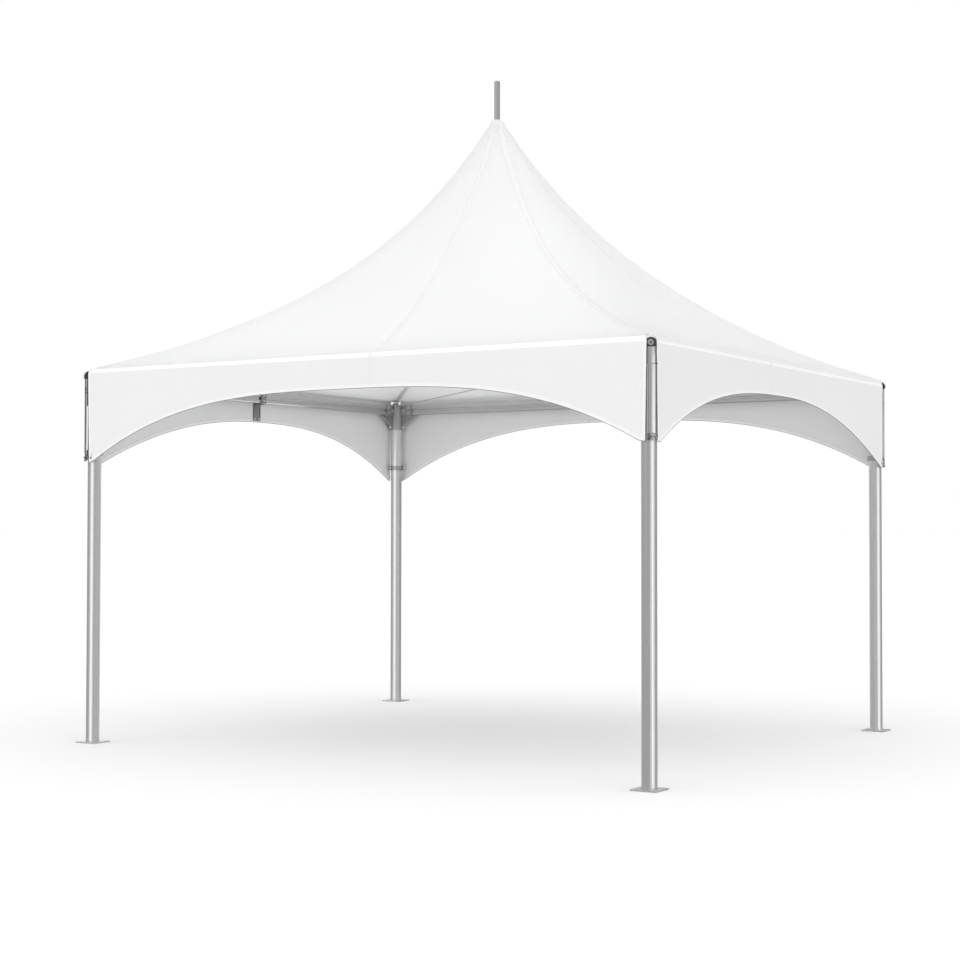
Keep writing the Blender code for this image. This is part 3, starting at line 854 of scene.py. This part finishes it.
TRACK_IN = 0.0514
TRACK_HALF = 0.028
TRACK_CROWN = 0.040
TRACK_DEPTH = 0.016
TRACK_FACE = TRACK_IN + TRACK_DEPTH
BEND_R = 0.0105          # inner radius of the bend at the top
BEND_Z = TRACK_TOP - 0.005 - BEND_R - TRACK_DEPTH
TONGUE = 0.018
SLIM_HALF = 0.0240       # the track is narrower above its joint, and a little to the left
SLIM_SHIFT = -0.0020
JOINT_Z = 2.305
CAP_Z = 2.396
BOSS_Z = 2.418
# The boss: a ring of (radius, height) round the corner's pin
BOSS = ((0.0052, 0.0), (0.0158, 0.0), (0.0165, 0.0012), (0.0165, 0.0046), (0.0152, 0.0060),
        (0.0132, 0.0062), (0.0120, 0.0050), (0.0086, 0.0050), (0.0074, 0.0064), (0.0052, 0.0064))
# The flap that closes the roof's end of a slot, over the track: rows of (out, half width, height)
FLAP_ROWS = ((-0.018, 0.037, 2.4692), (0.0, 0.036, 2.4652), (0.012, 0.034, 2.4625), (0.022, 0.031, 2.4602),
             (0.032, 0.027, 2.4578), (0.041, 0.021, 2.4552))
FLAP_FALL = 0.20         # how steeply it falls away to its sides
FLAP_T = 0.0012
FOOT_HALF = 0.0205
FOOT_CURL = 0.0090
LUG_R = 0.0165
TAG_IN = 0.020           # the tags at the cloth's tips: in from the leg's axis, and up from the tip
TAG_UP = 0.034
CLAMP_R = 0.0515
SOCKET_R = 0.051
SOCKET_LOW = 2.222
RIB = ((0.002, -0.010), (-0.006, -0.007), (-0.0075, 0.0), (-0.006, 0.007), (0.002, 0.010))
RIB_RINGS = ((SOCKET_LOW + 0.044, 0.96), (SOCKET_LOW + 0.048, 1.0), (2.402, 1.0), (2.420, 0.93))
RAIL_OUT = 0.016
RAIL_Z = (RAIL_LOW + RAIL_HIGH) / 2
SLEEVE_HALF_W = 0.032
SLEEVE_HALF_H = 0.042
SLEEVE_CUT = 0.008
SLEEVE_END = 0.160
GUSSET_REACH = 0.190
# Turns a sleeve along -x with its outside at -y into the one along +y with its outside at +x
OTHER_SLEEVE = Matrix(((0, -1, 0, 0), (-1, 0, 0, 0), (0, 0, 1, 0), (0, 0, 0, 1)))
WELD_STEPS = 180
HOLE_AT = 0.059
HOLE_RING = ((0.0072, -0.0004), (0.0115, -0.0004), (0.0112, 0.0003), (0.0078, 0.0005), (0.0071, 0.0001))
PLATE_TOP = 0.008


def under_leg(name, degrees):
    side_x, side_y = CORNERS[name][:2]
    return moved(side_x * HALF_X, side_y * HALF_Y, 0.0) @ turned(degrees)


def corner_frame(name):
    return under_leg(name, CORNERS[name][2] - 45)


def crown(half, depth, radius, steps=8):
    # Outline of a crowned strip as (across, out), with a small round at each edge
    edge = depth - radius + sqrt(radius * radius - half * half)
    limit = asin(half / radius)
    points = [(-half, 0.0), (-half, edge * 0.6)]
    for step in range(steps + 1):
        a = -limit + 2 * limit * step / steps
        shrink = 1.0 if 0 < step < steps else 0.985
        points.append((radius * sin(a) * shrink, depth - radius + radius * cos(a)))
    return points + [(half, edge * 0.6), (half, 0.0)]


def slimmed(extra=0.0):
    # The track's outline above its joint
    outline = crown(SLIM_HALF + extra, TRACK_DEPTH + extra, TRACK_CROWN)
    return [(v + SLIM_SHIFT, d) for v, d in outline]


def track_ring(outline, z):
    return [(TRACK_IN + d, v, z) for v, d in outline]


def over_ring(outline, x):
    return [(x, v, BEND_Z + BEND_R + d) for v, d in outline]


def bent(rings, outline, tongue):
    # Rings up the track, then the outline round the bend at its top and in over the leg
    for step in range(9):
        out, up = polar(1.0, 90 * step / 8)
        rings.append([(TRACK_IN - BEND_R + (BEND_R + d) * out, v, BEND_Z + (BEND_R + d) * up)
                      for v, d in outline])
    return loft(rings + [over_ring(outline, tongue)])


def track_low(name):
    # The track ends above its foot, which stands on the cloth's tips
    return max(TIPS[name] + 0.040, TRACK_FOOT + 0.002)


def make_track(name):
    # The crowned cover on the upper leg, in two lengths with a gasket between them
    shape = Shape(corner_frame(name))
    wide = crown(TRACK_HALF, TRACK_DEPTH, TRACK_CROWN)
    slim = slimmed()
    low = track_low(name)
    levels = ((low, wide), (JOINT_Z - 0.0018, wide), (JOINT_Z - 0.0016, slim), (JOINT_Z + 0.0018, slim))
    shape.add(bent([track_ring(outline, z) for z, outline in levels], slim, TRACK_IN - BEND_R))
    # The tongue over the leg is in the dark cast paint: painted shade that hides its reflection of the lit
    # roof
    shape.add(loft([over_ring(slim, x) for x in (TRACK_IN - BEND_R, TONGUE)]), paint=2)
    gasket = crown(TRACK_HALF + 0.0002, TRACK_DEPTH + 0.0003, TRACK_CROWN)
    shape.add(loft([track_ring(gasket, JOINT_Z + z) for z in (-0.0014, 0.0014)]), paint=1)
    # A cover plate up the middle, over the joint
    cover = crown(0.0165, 0.0026, 0.060, 6)
    start, end = JOINT_Z + 0.004, CAP_Z - 0.002
    rings = []
    for z, grow in ((start, 0.9), (start + 0.001, 1.0), (end - 0.001, 1.0), (end, 0.9)):
        rings.append([(TRACK_FACE - 0.003 + d * grow, v * grow + SLIM_SHIFT, z) for v, d in cover])
    shape.add(loft(rings))
    # Black seals along both edges, the right one thicker: painted shade and dark reflection along the
    # cover's flanks, most on the right
    for side, thick in ((-1, 0.0010), (1, 0.0022)):
        v = side * (TRACK_HALF - 0.0062)
        out = TRACK_FACE - TRACK_CROWN + sqrt(TRACK_CROWN ** 2 - v * v)
        shape.add(swept([(out, v, low + 0.002), (out, v, JOINT_Z - 0.003)], thick, 8), paint=1)
        v = side * (SLIM_HALF - 0.0040) + SLIM_SHIFT
        shape.add(swept([(out, v, JOINT_Z + 0.003), (out, v, CAP_Z - 0.002)], thick, 8), paint=1)
    made = shape.piece("corner_cover_" + name, [track_metal, rubber, cast_dark], 30)
    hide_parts("corner_track_" + name)


def make_slot_flap(name):
    # Cloth over the track at the roof's end of a slot
    rings = []
    for out, half, z in FLAP_ROWS:
        row = [(out, half * k / 3, z - FLAP_FALL * half * abs(k) / 3) for k in range(-3, 4)]
        rings.append(row + [(x, y, height - FLAP_T) for x, y, height in reversed(row)])
    shape = Shape(corner_frame(name))
    shape.add(loft(rings))
    return shape.piece("slot_flap_" + name, [cloth_double], 50)


def make_corner_cap(name):
    # Black cap over the bend, painted shade for the dark hollow at the top of the slot, with the boss that
    # takes the corner's pin
    shape = Shape(corner_frame(name))
    outline = slimmed(0.0014)
    shape.add(bent([track_ring(outline, CAP_Z)], outline, TRACK_IN - BEND_R - 0.0005))
    boss = facing((TRACK_FACE - 0.0012, -0.0118, BOSS_Z), (1.0, -0.14, 0.12))
    shape.add(lathe(BOSS, 32, closed=True), boss, 1)
    shape.add(lathe([(0.0051, 0.0), (0.0051, 0.0018)], 20), boss)
    # A notch on the right side at the joint, a black box of painted shade, and a screw
    lug = facing((TRACK_IN + 0.0085, SLIM_HALF + SLIM_SHIFT - 0.0004, 2.330), (0.7, 1.0, 0.0))
    shape.add(rounded_box(0.0060, 0.028, -0.003, 0.0016, 0.0026, 5), lug)
    screw = facing((TRACK_IN + 0.008, TRACK_HALF - 0.0004, JOINT_Z), (0.6, 1.0, 0.0))
    shape.add(button_head(0.0042, 0.0026), screw)
    shape.piece("corner_cap_" + name, [rubber, bolt_zinc])


def make_corner_foot(name):
    # The curled foot under the track, with its bolt, its lug and the knob on its right side. Its dark body
    # and the black pad round the lug are painted shade round and above the lug
    shape = Shape(corner_frame(name))
    low = TIPS[name] + 0.006
    high = track_low(name)
    face = TRACK_FACE - 0.0025
    section = []
    for step in range(9):
        out, up = polar(FOOT_CURL, -180 * step / 8)
        section.append((face - FOOT_CURL + out, low + FOOT_CURL + up))
    ledge = CLAMP_LOW - 0.001
    section += [(LEG_R + 0.0006, low + FOOT_CURL * 0.9), (LEG_R + 0.0006, ledge)]
    section += [(TRACK_IN + 0.001, ledge), (TRACK_IN + 0.001, high), (face, high)]
    mid_x = TRACK_IN + 0.006
    mid_z = (low + high) / 2
    rings = []
    for across, grow in ((-FOOT_HALF, 0.88), (-FOOT_HALF + 0.002, 1.0), (FOOT_HALF - 0.002, 1.0),
                         (FOOT_HALF, 0.88)):
        rings.append([(mid_x + (x - mid_x) * grow, across, mid_z + (z - mid_z) * grow) for x, z in section])
    shape.add(loft(rings), paint=3)
    lug = [polar(LUG_R, 15 * k) for k in range(13)]
    pad = [(x * 1.26, y * 1.26) for x, y in lug]
    lug_at = facing((face, -0.0015, low - 0.003), (1, 0, 0))
    shape.add(prism(pad, ((-0.003, 1.0), (0.0008, 1.0))), lug_at, 2)
    shape.add(prism(lug, ((-0.003, 1.0), (0.0014, 1.0), (0.0022, 0.93))), lug_at)
    shape.bolt(facing((face, 0.0005, low + 0.0245), (1, 0, 0.25)), 0.0125, 0.0065, True)
    knob = facing((TRACK_IN + 0.006, FOOT_HALF + 0.0003, low + 0.020), (0.0, 1.0, 0.0))
    shape.add(washer(0.0110, 0.003, 0.0016), knob, 1)
    shape.add(lathe([(0.0080, 0.0016), (0.0084, 0.0030), (0.0080, 0.0078), (0.0060, 0.0090)]), knob, 2)
    shape.piece("corner_foot_" + name, [cast, bolt_zinc, rubber, cast_dark])


def make_tip_tags(name):
    # A small tag with a stud on each cloth tip
    shape = Shape()
    before, after = CORNER_SIDES[name]
    for side, end, way in ((before, 2, 1), (after, 1, -1)):
        shape.base = TURNS[side]
        eave_x, eave_y = SIDES[side][:2]
        at = Vector((way * (eave_x - CLOTH_OUT - TAG_IN), -eave_y - 0.0014, ARCHES[side][end][0] + TAG_UP))
        place = facing(at, (0, -1, 0))
        shape.add(rounded_box(0.020, 0.036, -0.0012, 0.0012, 0.004, 4), place, 1)
        shape.add(rounded_box(0.017, 0.033, 0.0010, 0.0022, 0.003, 4), place)
        eye = place @ moved(0.0, -0.006, 0.0020)
        shape.add(washer(0.0072, 0.0040, 0.0010), eye, 1)
        shape.add(button_head(0.0052, 0.0036), eye, 2)
        back = facing(at + Vector((0.0, 0.0062, -0.006)), (0, 1, 0))
        shape.add(washer(0.0088, 0.0030, 0.0016), back, 1)
        shape.add(hex_head(0.0100, 0.0045, HEAD_BASE), back, 1)
    shape.piece("tip_tags_" + name, [cloth_double, bolt_zinc, cast_dark])


def make_clamp_details(name):
    # The split clamp's ears and bolts, seen from inside the tent, and two raised beads
    shape = Shape(corner_frame(name))
    mid = (CLAMP_LOW + CLAMP_HIGH) / 2
    for z in (CLAMP_LOW + 0.004, CLAMP_HIGH - 0.004):
        arc = [(*polar(CLAMP_R, 48 + 264 * step / 36), z) for step in range(37)]
        shape.add(swept(arc, 0.0016, 6))
    for side in (-1, 1):
        ear = facing((-0.020, side * (CLAMP_R + 0.004), mid), (-1, 0, 0))
        for low, high in ((-0.010, -0.001), (0.001, 0.010)):
            shape.add(rounded_box(0.016, 0.028, low, high, 0.004, 4), ear, 2)
        for x, way, height in ((-0.030, -1, 0.006), (-0.010, 1, 0.005)):
            shape.bolt(facing((x, side * (CLAMP_R + 0.005), mid), (way, 0, 0)), 0.012, height)
    shape.piece("clamp_ears_" + name, [cast, bolt_zinc, cast_dark])


def band(low, high, radius, grow=0.0022):
    # A raised ring with softened edges
    inner = radius - 0.001
    profile = [(inner, low), (radius + grow * 0.6, low), (radius + grow, low + 0.0015),
               (radius + grow, high - 0.0015), (radius + grow * 0.6, high), (inner, high)]
    return lathe(profile, 40, closed=True)


def make_socket_details(name):
    # Collar and eared bolts at the foot of the socket, and a rib up its inner face
    shape = Shape(corner_frame(name))
    shape.add(band(SOCKET_LOW - 0.001, SOCKET_LOW + 0.007, SOCKET_R))
    shape.add(band(SOCKET_LOW + 0.036, SOCKET_LOW + 0.043, SOCKET_R))
    shape.add(loft([[((x - SOCKET_R) * grow, y, z) for x, y in RIB] for z, grow in RIB_RINGS]))
    for side in (-1, 1):
        y = side * (SOCKET_R + 0.002)
        z = SOCKET_LOW + 0.021
        shape.add(rounded_box(0.020, 0.032, -0.012, 0.004, 0.005, 4), facing((-0.024, y, z), (-1, 0, 0)))
        for x, way, height in ((-0.028, -1, 0.007), (-0.012, 1, 0.005)):
            shape.bolt(facing((x, y + side * 0.001, z), (way, 0, 0)), 0.013, height)
    shape.piece("socket_details_" + name, [cast, bolt_zinc])


def sleeve_ring(grow, x):
    w = SLEEVE_HALF_W + grow
    h = SLEEVE_HALF_H + grow
    quarter = ((w, h - SLEEVE_CUT), (w - SLEEVE_CUT, h))
    points = [(-y, -z) for y, z in quarter] + [(y, -z) for y, z in reversed(quarter)]
    points += list(quarter) + [(-y, z) for y, z in reversed(quarter)]
    return [(x, -RAIL_OUT + y, RAIL_Z + z) for y, z in points]


def make_sleeve_details(name):
    # Raised rings at the sleeve ends, bolts through their inner faces and beads along the gussets
    base = under_leg(name, CORNERS[name][2])
    shape = Shape()
    inner_face = -RAIL_OUT + SLEEVE_HALF_W
    under = RAIL_Z - SLEEVE_HALF_H
    bead = [(-GUSSET_REACH + 0.003, -RAIL_OUT, under - 0.006), (-0.120, -RAIL_OUT, under - 0.047),
            (-SOCKET_R + 0.002, -RAIL_OUT, SOCKET_LOW + 0.030)]
    for turn in (Matrix.Identity(4), OTHER_SLEEVE):
        shape.base = base @ turn
        for start, end, grow in ((-SLEEVE_END, -SLEEVE_END + 0.009, 0.0028), (-0.100, -0.094, 0.0018)):
            rings = ((-0.002, start), (grow, start + 0.0008), (grow, end - 0.0008), (-0.002, end))
            shape.add(loft([sleeve_ring(*ring) for ring in rings], True))
        for x, z in ((-0.128, RAIL_Z + 0.020), (-0.128, RAIL_Z - 0.020), (-0.075, RAIL_Z)):
            shape.bolt(facing((x, inner_face, z), (0, 1, 0)), 0.012, 0.006)
        for x in (-0.145, -0.110):
            shape.bolt(facing((x, -RAIL_OUT, under), (0, 0, -1), (0, 1, 0)), 0.012, 0.006)
        shape.add(swept(bead, 0.0072, 10))
    shape.piece("sleeve_details_" + name, [cast, bolt_zinc])


def make_plate_details(name):
    # Weld bead round the leg's foot and a worn ring at each peg hole
    shape = Shape(under_leg(name, 0))
    rings = []
    for k in range(WELD_STEPS):
        size = 0.0034 + 0.0005 * sin(k * 2 * pi / 6)
        ring = []
        for m in range(7):
            out, up = polar(size, -15 + 20 * m)
            ring.append((*polar(LEG_R - 0.0004 + out, 360 * k / WELD_STEPS), 0.0076 + up))
        rings.append(ring)
    shape.add(loft(rings, True))
    for x in (-HOLE_AT, HOLE_AT):
        for y in (-HOLE_AT, HOLE_AT):
            shape.add(lathe(HOLE_RING, 28, closed=True), moved(x, y, PLATE_TOP), 1)
    shape.piece("plate_details_" + name, [weld_metal, plate_zinc], 50)


def make_leg_seams(name):
    # The groove up the inner side of the upper leg, and the spring button under it
    shape = Shape(corner_frame(name))
    for side in (-1, 1):
        path = [(-0.0462, side * 0.003, 1.935 + 0.2855 * k / 3) for k in range(4)]
        shape.add(swept(path, 0.0011, 6))
    button = facing((-LEG_R + 0.0004, 0.0, 1.820), (-1, 0, 0))
    shape.add(button_head(0.0055, 0.004, 0.0, 0.2), button, 1)
    shape.piece("upper_leg_seam_" + name, [tube_metal, bolt_zinc])


# Middle brackets, mast and cables

HUB_R = 0.055
STRAP_IN = 0.0093        # the strap's inner face, in from the eave edge
SWAGE = ((0.0066, 0.0), (0.0072, 0.0015), (0.0072, 0.052), (0.0058, 0.066), (0.0042, 0.070))
STRANDS = 6
STRAND_R = 0.0013
STRAND_OUT = 0.0026
STRAND_LAY = 0.048       # length of one turn of the strands
NUT_TURN = 45.8366236    # from the bolts round the mast's foot to the ones under it
DOWN = turned(180, "X")


def make_bracket_details(side):
    # Bolts and ribs on the strap's inner face, and the clip's bolts and lip on the rail
    shape = Shape(TURNS[side])
    eave_y = SIDES[side][1]
    arch = ARCHES[side][0]
    inner = -eave_y + STRAP_IN
    rail = -eave_y + CLOTH_OUT - RAIL_OUT
    for x in (-0.022, 0.022):
        shape.bolt(facing((x, inner, arch + 0.020), (0, 1, 0)), 0.012, 0.006, True)
    for x in (-0.034, 0.034):
        rib = rounded_box(0.006, 0.004, arch + 0.034, RAIL_LOW - 0.012, 0.0018)
        shape.add(rib, moved(x, inner + 0.0012, 0.0))
    for z in (RAIL_Z - 0.020, RAIL_Z + 0.020):
        shape.bolt(facing((0.0, rail + 0.033, z), (0, 1, 0)), 0.013, 0.007)
    lip = rounded_box(0.066, 0.0035, RAIL_Z + 0.0035, RAIL_Z + 0.0095, 0.0015)
    shape.add(lip, moved(0.0, rail + 0.0335, 0.0))
    shape.piece("bracket_details_" + side, [cast_dark, bolt_zinc])


def make_mast_details():
    # Bands and bolts on the mast's foot, and the seal and screws on the peak's collar
    shape = Shape()
    low, high = (end.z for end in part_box("mast_foot"))
    shape.add(band(high + 0.0004, high + 0.020, 0.0255, 0.006))
    shape.add(band(low + 0.006, low + 0.011, HUB_R, 0.0016))
    shape.add(band(high - 0.009, high - 0.004, HUB_R, 0.0016))
    shape.add(hex_head(0.030, 0.014), moved(0, 0, low) @ DOWN, 1)
    for degrees in (45, 135, 225, 315):
        collar_bolt = facing((*polar(0.0315, degrees), high + 0.011), (*polar(1.0, degrees), 0))
        shape.bolt(collar_bolt, 0.008, 0.004, True)
        shape.bolt(moved(*polar(0.038, degrees + NUT_TURN), low) @ DOWN, 0.011, 0.005)
    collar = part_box("peak_collar")[1].z
    seal = [(0.0203, collar - 0.001), (0.0285, collar - 0.001), (0.0275, collar + 0.0015),
            (0.0228, collar + 0.0040), (0.0203, collar + 0.0045)]
    shape.add(lathe(seal, 32, closed=True))
    for degrees in range(30, 390, 60):
        shape.add(button_head(0.0030, 0.0018), moved(*polar(0.0350, degrees), collar), 1)
    shape.piece("mast_details", [cast, bolt_zinc])


def make_cable(name):
    # Six laid strands, with a swaged end and a nut at each end
    low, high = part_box("mast_cable_" + name)
    near_x, far_x = sorted((low.x, high.x), key=abs)
    near_y, far_y = sorted((low.y, high.y), key=abs)
    flat = Vector((far_x - near_x, far_y - near_y, 0.0)).normalized()
    start = Vector((near_x, near_y, low.z + 0.004)) + flat * 0.002
    end = Vector((far_x, far_y, high.z - 0.004)) - flat * 0.002
    along = (end - start).normalized()
    length = (end - start).length
    side = along.cross(Vector((0, 0, 1))).normalized()
    rise = side.cross(along)
    shape = Shape()
    steps = int(length / 0.008)
    for strand in range(STRANDS):
        path = []
        for s in [length * k / steps for k in range(steps + 1)]:
            x, y = polar(STRAND_OUT, 360 * (s / STRAND_LAY + strand / STRANDS))
            path.append(start + along * s + side * x + rise * y)
        shape.add(swept(path, STRAND_R, 5))
    for at, way in ((start, along), (end, -along)):
        shape.add(lathe(SWAGE, 16), facing(at, way), 1)
        shape.add(hex_head(0.017, 0.012), facing(at, way), 1)
    made = shape.piece("cable_" + name, [strand_steel, bolt_zinc], 50)
    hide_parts("mast_cable_" + name)


# Everything on the part

# The paint of each kept node, by the start of its name; the first that fits counts
NODE_PAINTS = (
    ("valance_bracket", cast_dark),
    ("leg_clamp", cast),
    ("corner_fitting", cast),
    ("mast_foot", cast),
    ("peak_collar", cloth_double),
    ("leg_", tube_metal),
    ("upper_leg", tube_metal),
    ("mast", tube_metal),
    ("corner_track", track_metal),
    ("base_plate", plate_zinc),
    ("eave_rail_front", rail_metal_x),
    ("eave_rail_back", rail_metal_x),
    ("eave_rail", rail_metal_y),
    ("", cloth),
)
CORNER_MAKERS = (make_track, make_corner_cap, make_corner_foot, make_tip_tags, make_clamp_details,
                 make_socket_details, make_sleeve_details, make_plate_details, make_leg_seams, make_cable)
UNTAGGED = "front_right"     # the corner whose cloth tips have no tags


def dress_nodes():
    for name, node in nodes.items():
        paint = next(paint for start, paint in NODE_PAINTS if name.startswith(start))
        for slot in node.material_slots:
            slot.material = paint


def make_tent():
    dress_nodes()
    canopy = make_canopy()
    trims = [make_arch_hem(side) for side in SIDES]
    trims += [make_slot_hem(name) for name in CORNERS]
    trims += [make_hip_strip(name) for name in CORNERS]
    trims += [make_seam(side) for side in SIDES]
    trims += [make_stitches(side) for side in SIDES]
    trims.append(make_peak_band())
    trims += [make_slot_flap(name) for name in CORNERS]
    for name in CORNERS:
        for make in CORNER_MAKERS:
            if make != make_tip_tags or name != UNTAGGED:
                make(name)
    for side in SIDES:
        make_bracket_details(side)
    make_mast_details()


# The studio

SKY = 1.03
BACKDROP = 1.0
GLOSS_SKY = 0.38
BACK_WAY = (-0.60, 0.80, 0.0)   # the sky is darker this way, behind the tent
BACK_FROM = -0.1
BACK_SKY = 0.60
FLOOR_WHITE = 0.90
FLOOR_REACH = 400.0
# Soft lamps, as (direction they shine from, strength, angle across in degrees)
LAMPS = {
    "overhead": ((0.12, 0.00, 1.0), 0.62, 95),
    "key": ((-0.40, -0.75, 0.60), 0.20, 70),
}
# Strip cards that only the metal sees, one beside each leg: the way from the leg to its card, in
# degrees from +X. They reach under the floor, which the metal doesn't see, so that the legs'
# highlights run down to the ground, and end under the rails.
CARD_WAYS = {"front_right": -14, "back_right": -14, "back_left": -87, "front_left": -83}
CARD_TOPS = {"front_right": 2.50, "back_right": 2.36, "back_left": 2.15, "front_left": 2.30}
CARD_LOW = -1.5
CARD_AWAY = 1.0
CARD_WIDE = 0.80
CARD_GLOW = 1.25
# A far wide card behind the tent lights the metal for the views from that side
FAR_CARD = ((-9.2, 7.0, 0.0), 5.0, 6.0)


def make_camera():
    data = bpy.data.cameras.new("camera")
    data.lens = LENS
    data.sensor_width = 36.0
    data.clip_end = 1000.0
    camera = linked("camera", data)
    turn = turned(CAMERA_YAW) @ turned(90 + CAMERA_PITCH, "X") @ turned(CAMERA_ROLL)
    camera.matrix_world = moved(*CAMERA_AT) @ turn
    bpy.context.scene.camera = camera


def make_world():
    # Light for the cloth and the floor, a dimmer sky for the metal, and a plain backdrop
    world = bpy.data.worlds.new("studio")
    bpy.context.scene.world = world
    world.use_nodes = True
    world.node_tree.nodes.clear()
    tree = Tree(world.node_tree)
    way = tree.add("TexCoord")["Generated"]
    behind = tree.add("VectorMath", {"operation": "DOT_PRODUCT", 0: way, 1: BACK_WAY})["Value"]
    fall = {"Value": behind, "From Min": BACK_FROM, "To Min": 1.0, "To Max": BACK_SKY}
    strength = tree.add("MapRange", fall)["Result"]
    sky, gloss, backdrop = [tree.add("Background", {"Color": (grey, grey, grey, 1.0), "Strength": value})
                            for grey, value in ((SKY, strength), (GLOSS_SKY, 1.0), (BACKDROP, 1.0))]
    path = tree.add("LightPath")
    lit = tree.add("MixShader", {0: path["Is Glossy Ray"], 1: sky[0], 2: gloss[0]})
    seen = tree.add("MixShader", {0: path["Is Camera Ray"], 1: lit[0], 2: backdrop[0]})
    tree.add("OutputWorld", {"Surface": seen[0]})


def flat_sheet(name, corners, paint):
    mesh = bpy.data.meshes.new(name)
    mesh.from_pydata(corners, [], [(0, 1, 2, 3)])
    mesh.materials.append(paint)
    return linked(name, mesh)


def make_floor():
    paint, tree, shader, place = new_paint("floor_paint", [FLOOR_WHITE] * 3, 0.9)
    tree.set(shader, {"Specular IOR Level": 0.1})
    corners = [(x * FLOOR_REACH, y * FLOOR_REACH, 0) for x, y in ((-1, -1), (1, -1), (1, 1), (-1, 1))]
    floor = flat_sheet("floor", corners, paint)
    floor.visible_glossy = False


def make_lamps():
    for name, (shines_from, strength, across) in LAMPS.items():
        data = bpy.data.lights.new(name, "SUN")
        data.energy = strength
        data.angle = radians(across)
        data.specular_factor = 0.0
        lamp = linked(name, data)
        lamp.matrix_world = facing((0, 0, 8), shines_from)


def make_card(name, place, wide, top):
    # A glowing card that neither the camera nor the cloth and the floor see
    paint = bpy.data.materials.new(name)
    paint.use_nodes = True
    paint.node_tree.nodes.clear()
    tree = Tree(paint.node_tree)
    light = tree.add("Emission", {"Strength": CARD_GLOW})
    tree.add("OutputMaterial", {"Surface": light[0]})
    paint.cycles.emission_sampling = "NONE"
    half = wide / 2
    corners = [(-half, CARD_LOW, 0), (half, CARD_LOW, 0), (half, top, 0), (-half, top, 0)]
    card = flat_sheet(name, corners, paint)
    card.matrix_world = place
    card.visible_camera = False
    card.visible_diffuse = False
    card.visible_shadow = False
    card.visible_transmission = False


def make_cards():
    for name, degrees in CARD_WAYS.items():
        way = Vector((*polar(1.0, degrees), 0.0))
        leg = under_leg(name, 0).translation
        make_card("card_" + name, facing(leg + way * CARD_AWAY, -way), CARD_WIDE, CARD_TOPS[name])
    centre, wide, top = FAR_CARD
    make_card("card_far", facing(centre, (-centre[0], -centre[1], 0.0)), wide, top)


make_camera()
make_world()
make_floor()
make_lamps()
make_cards()
make_tent()
bpy.context.scene.view_settings.view_transform = "Standard"
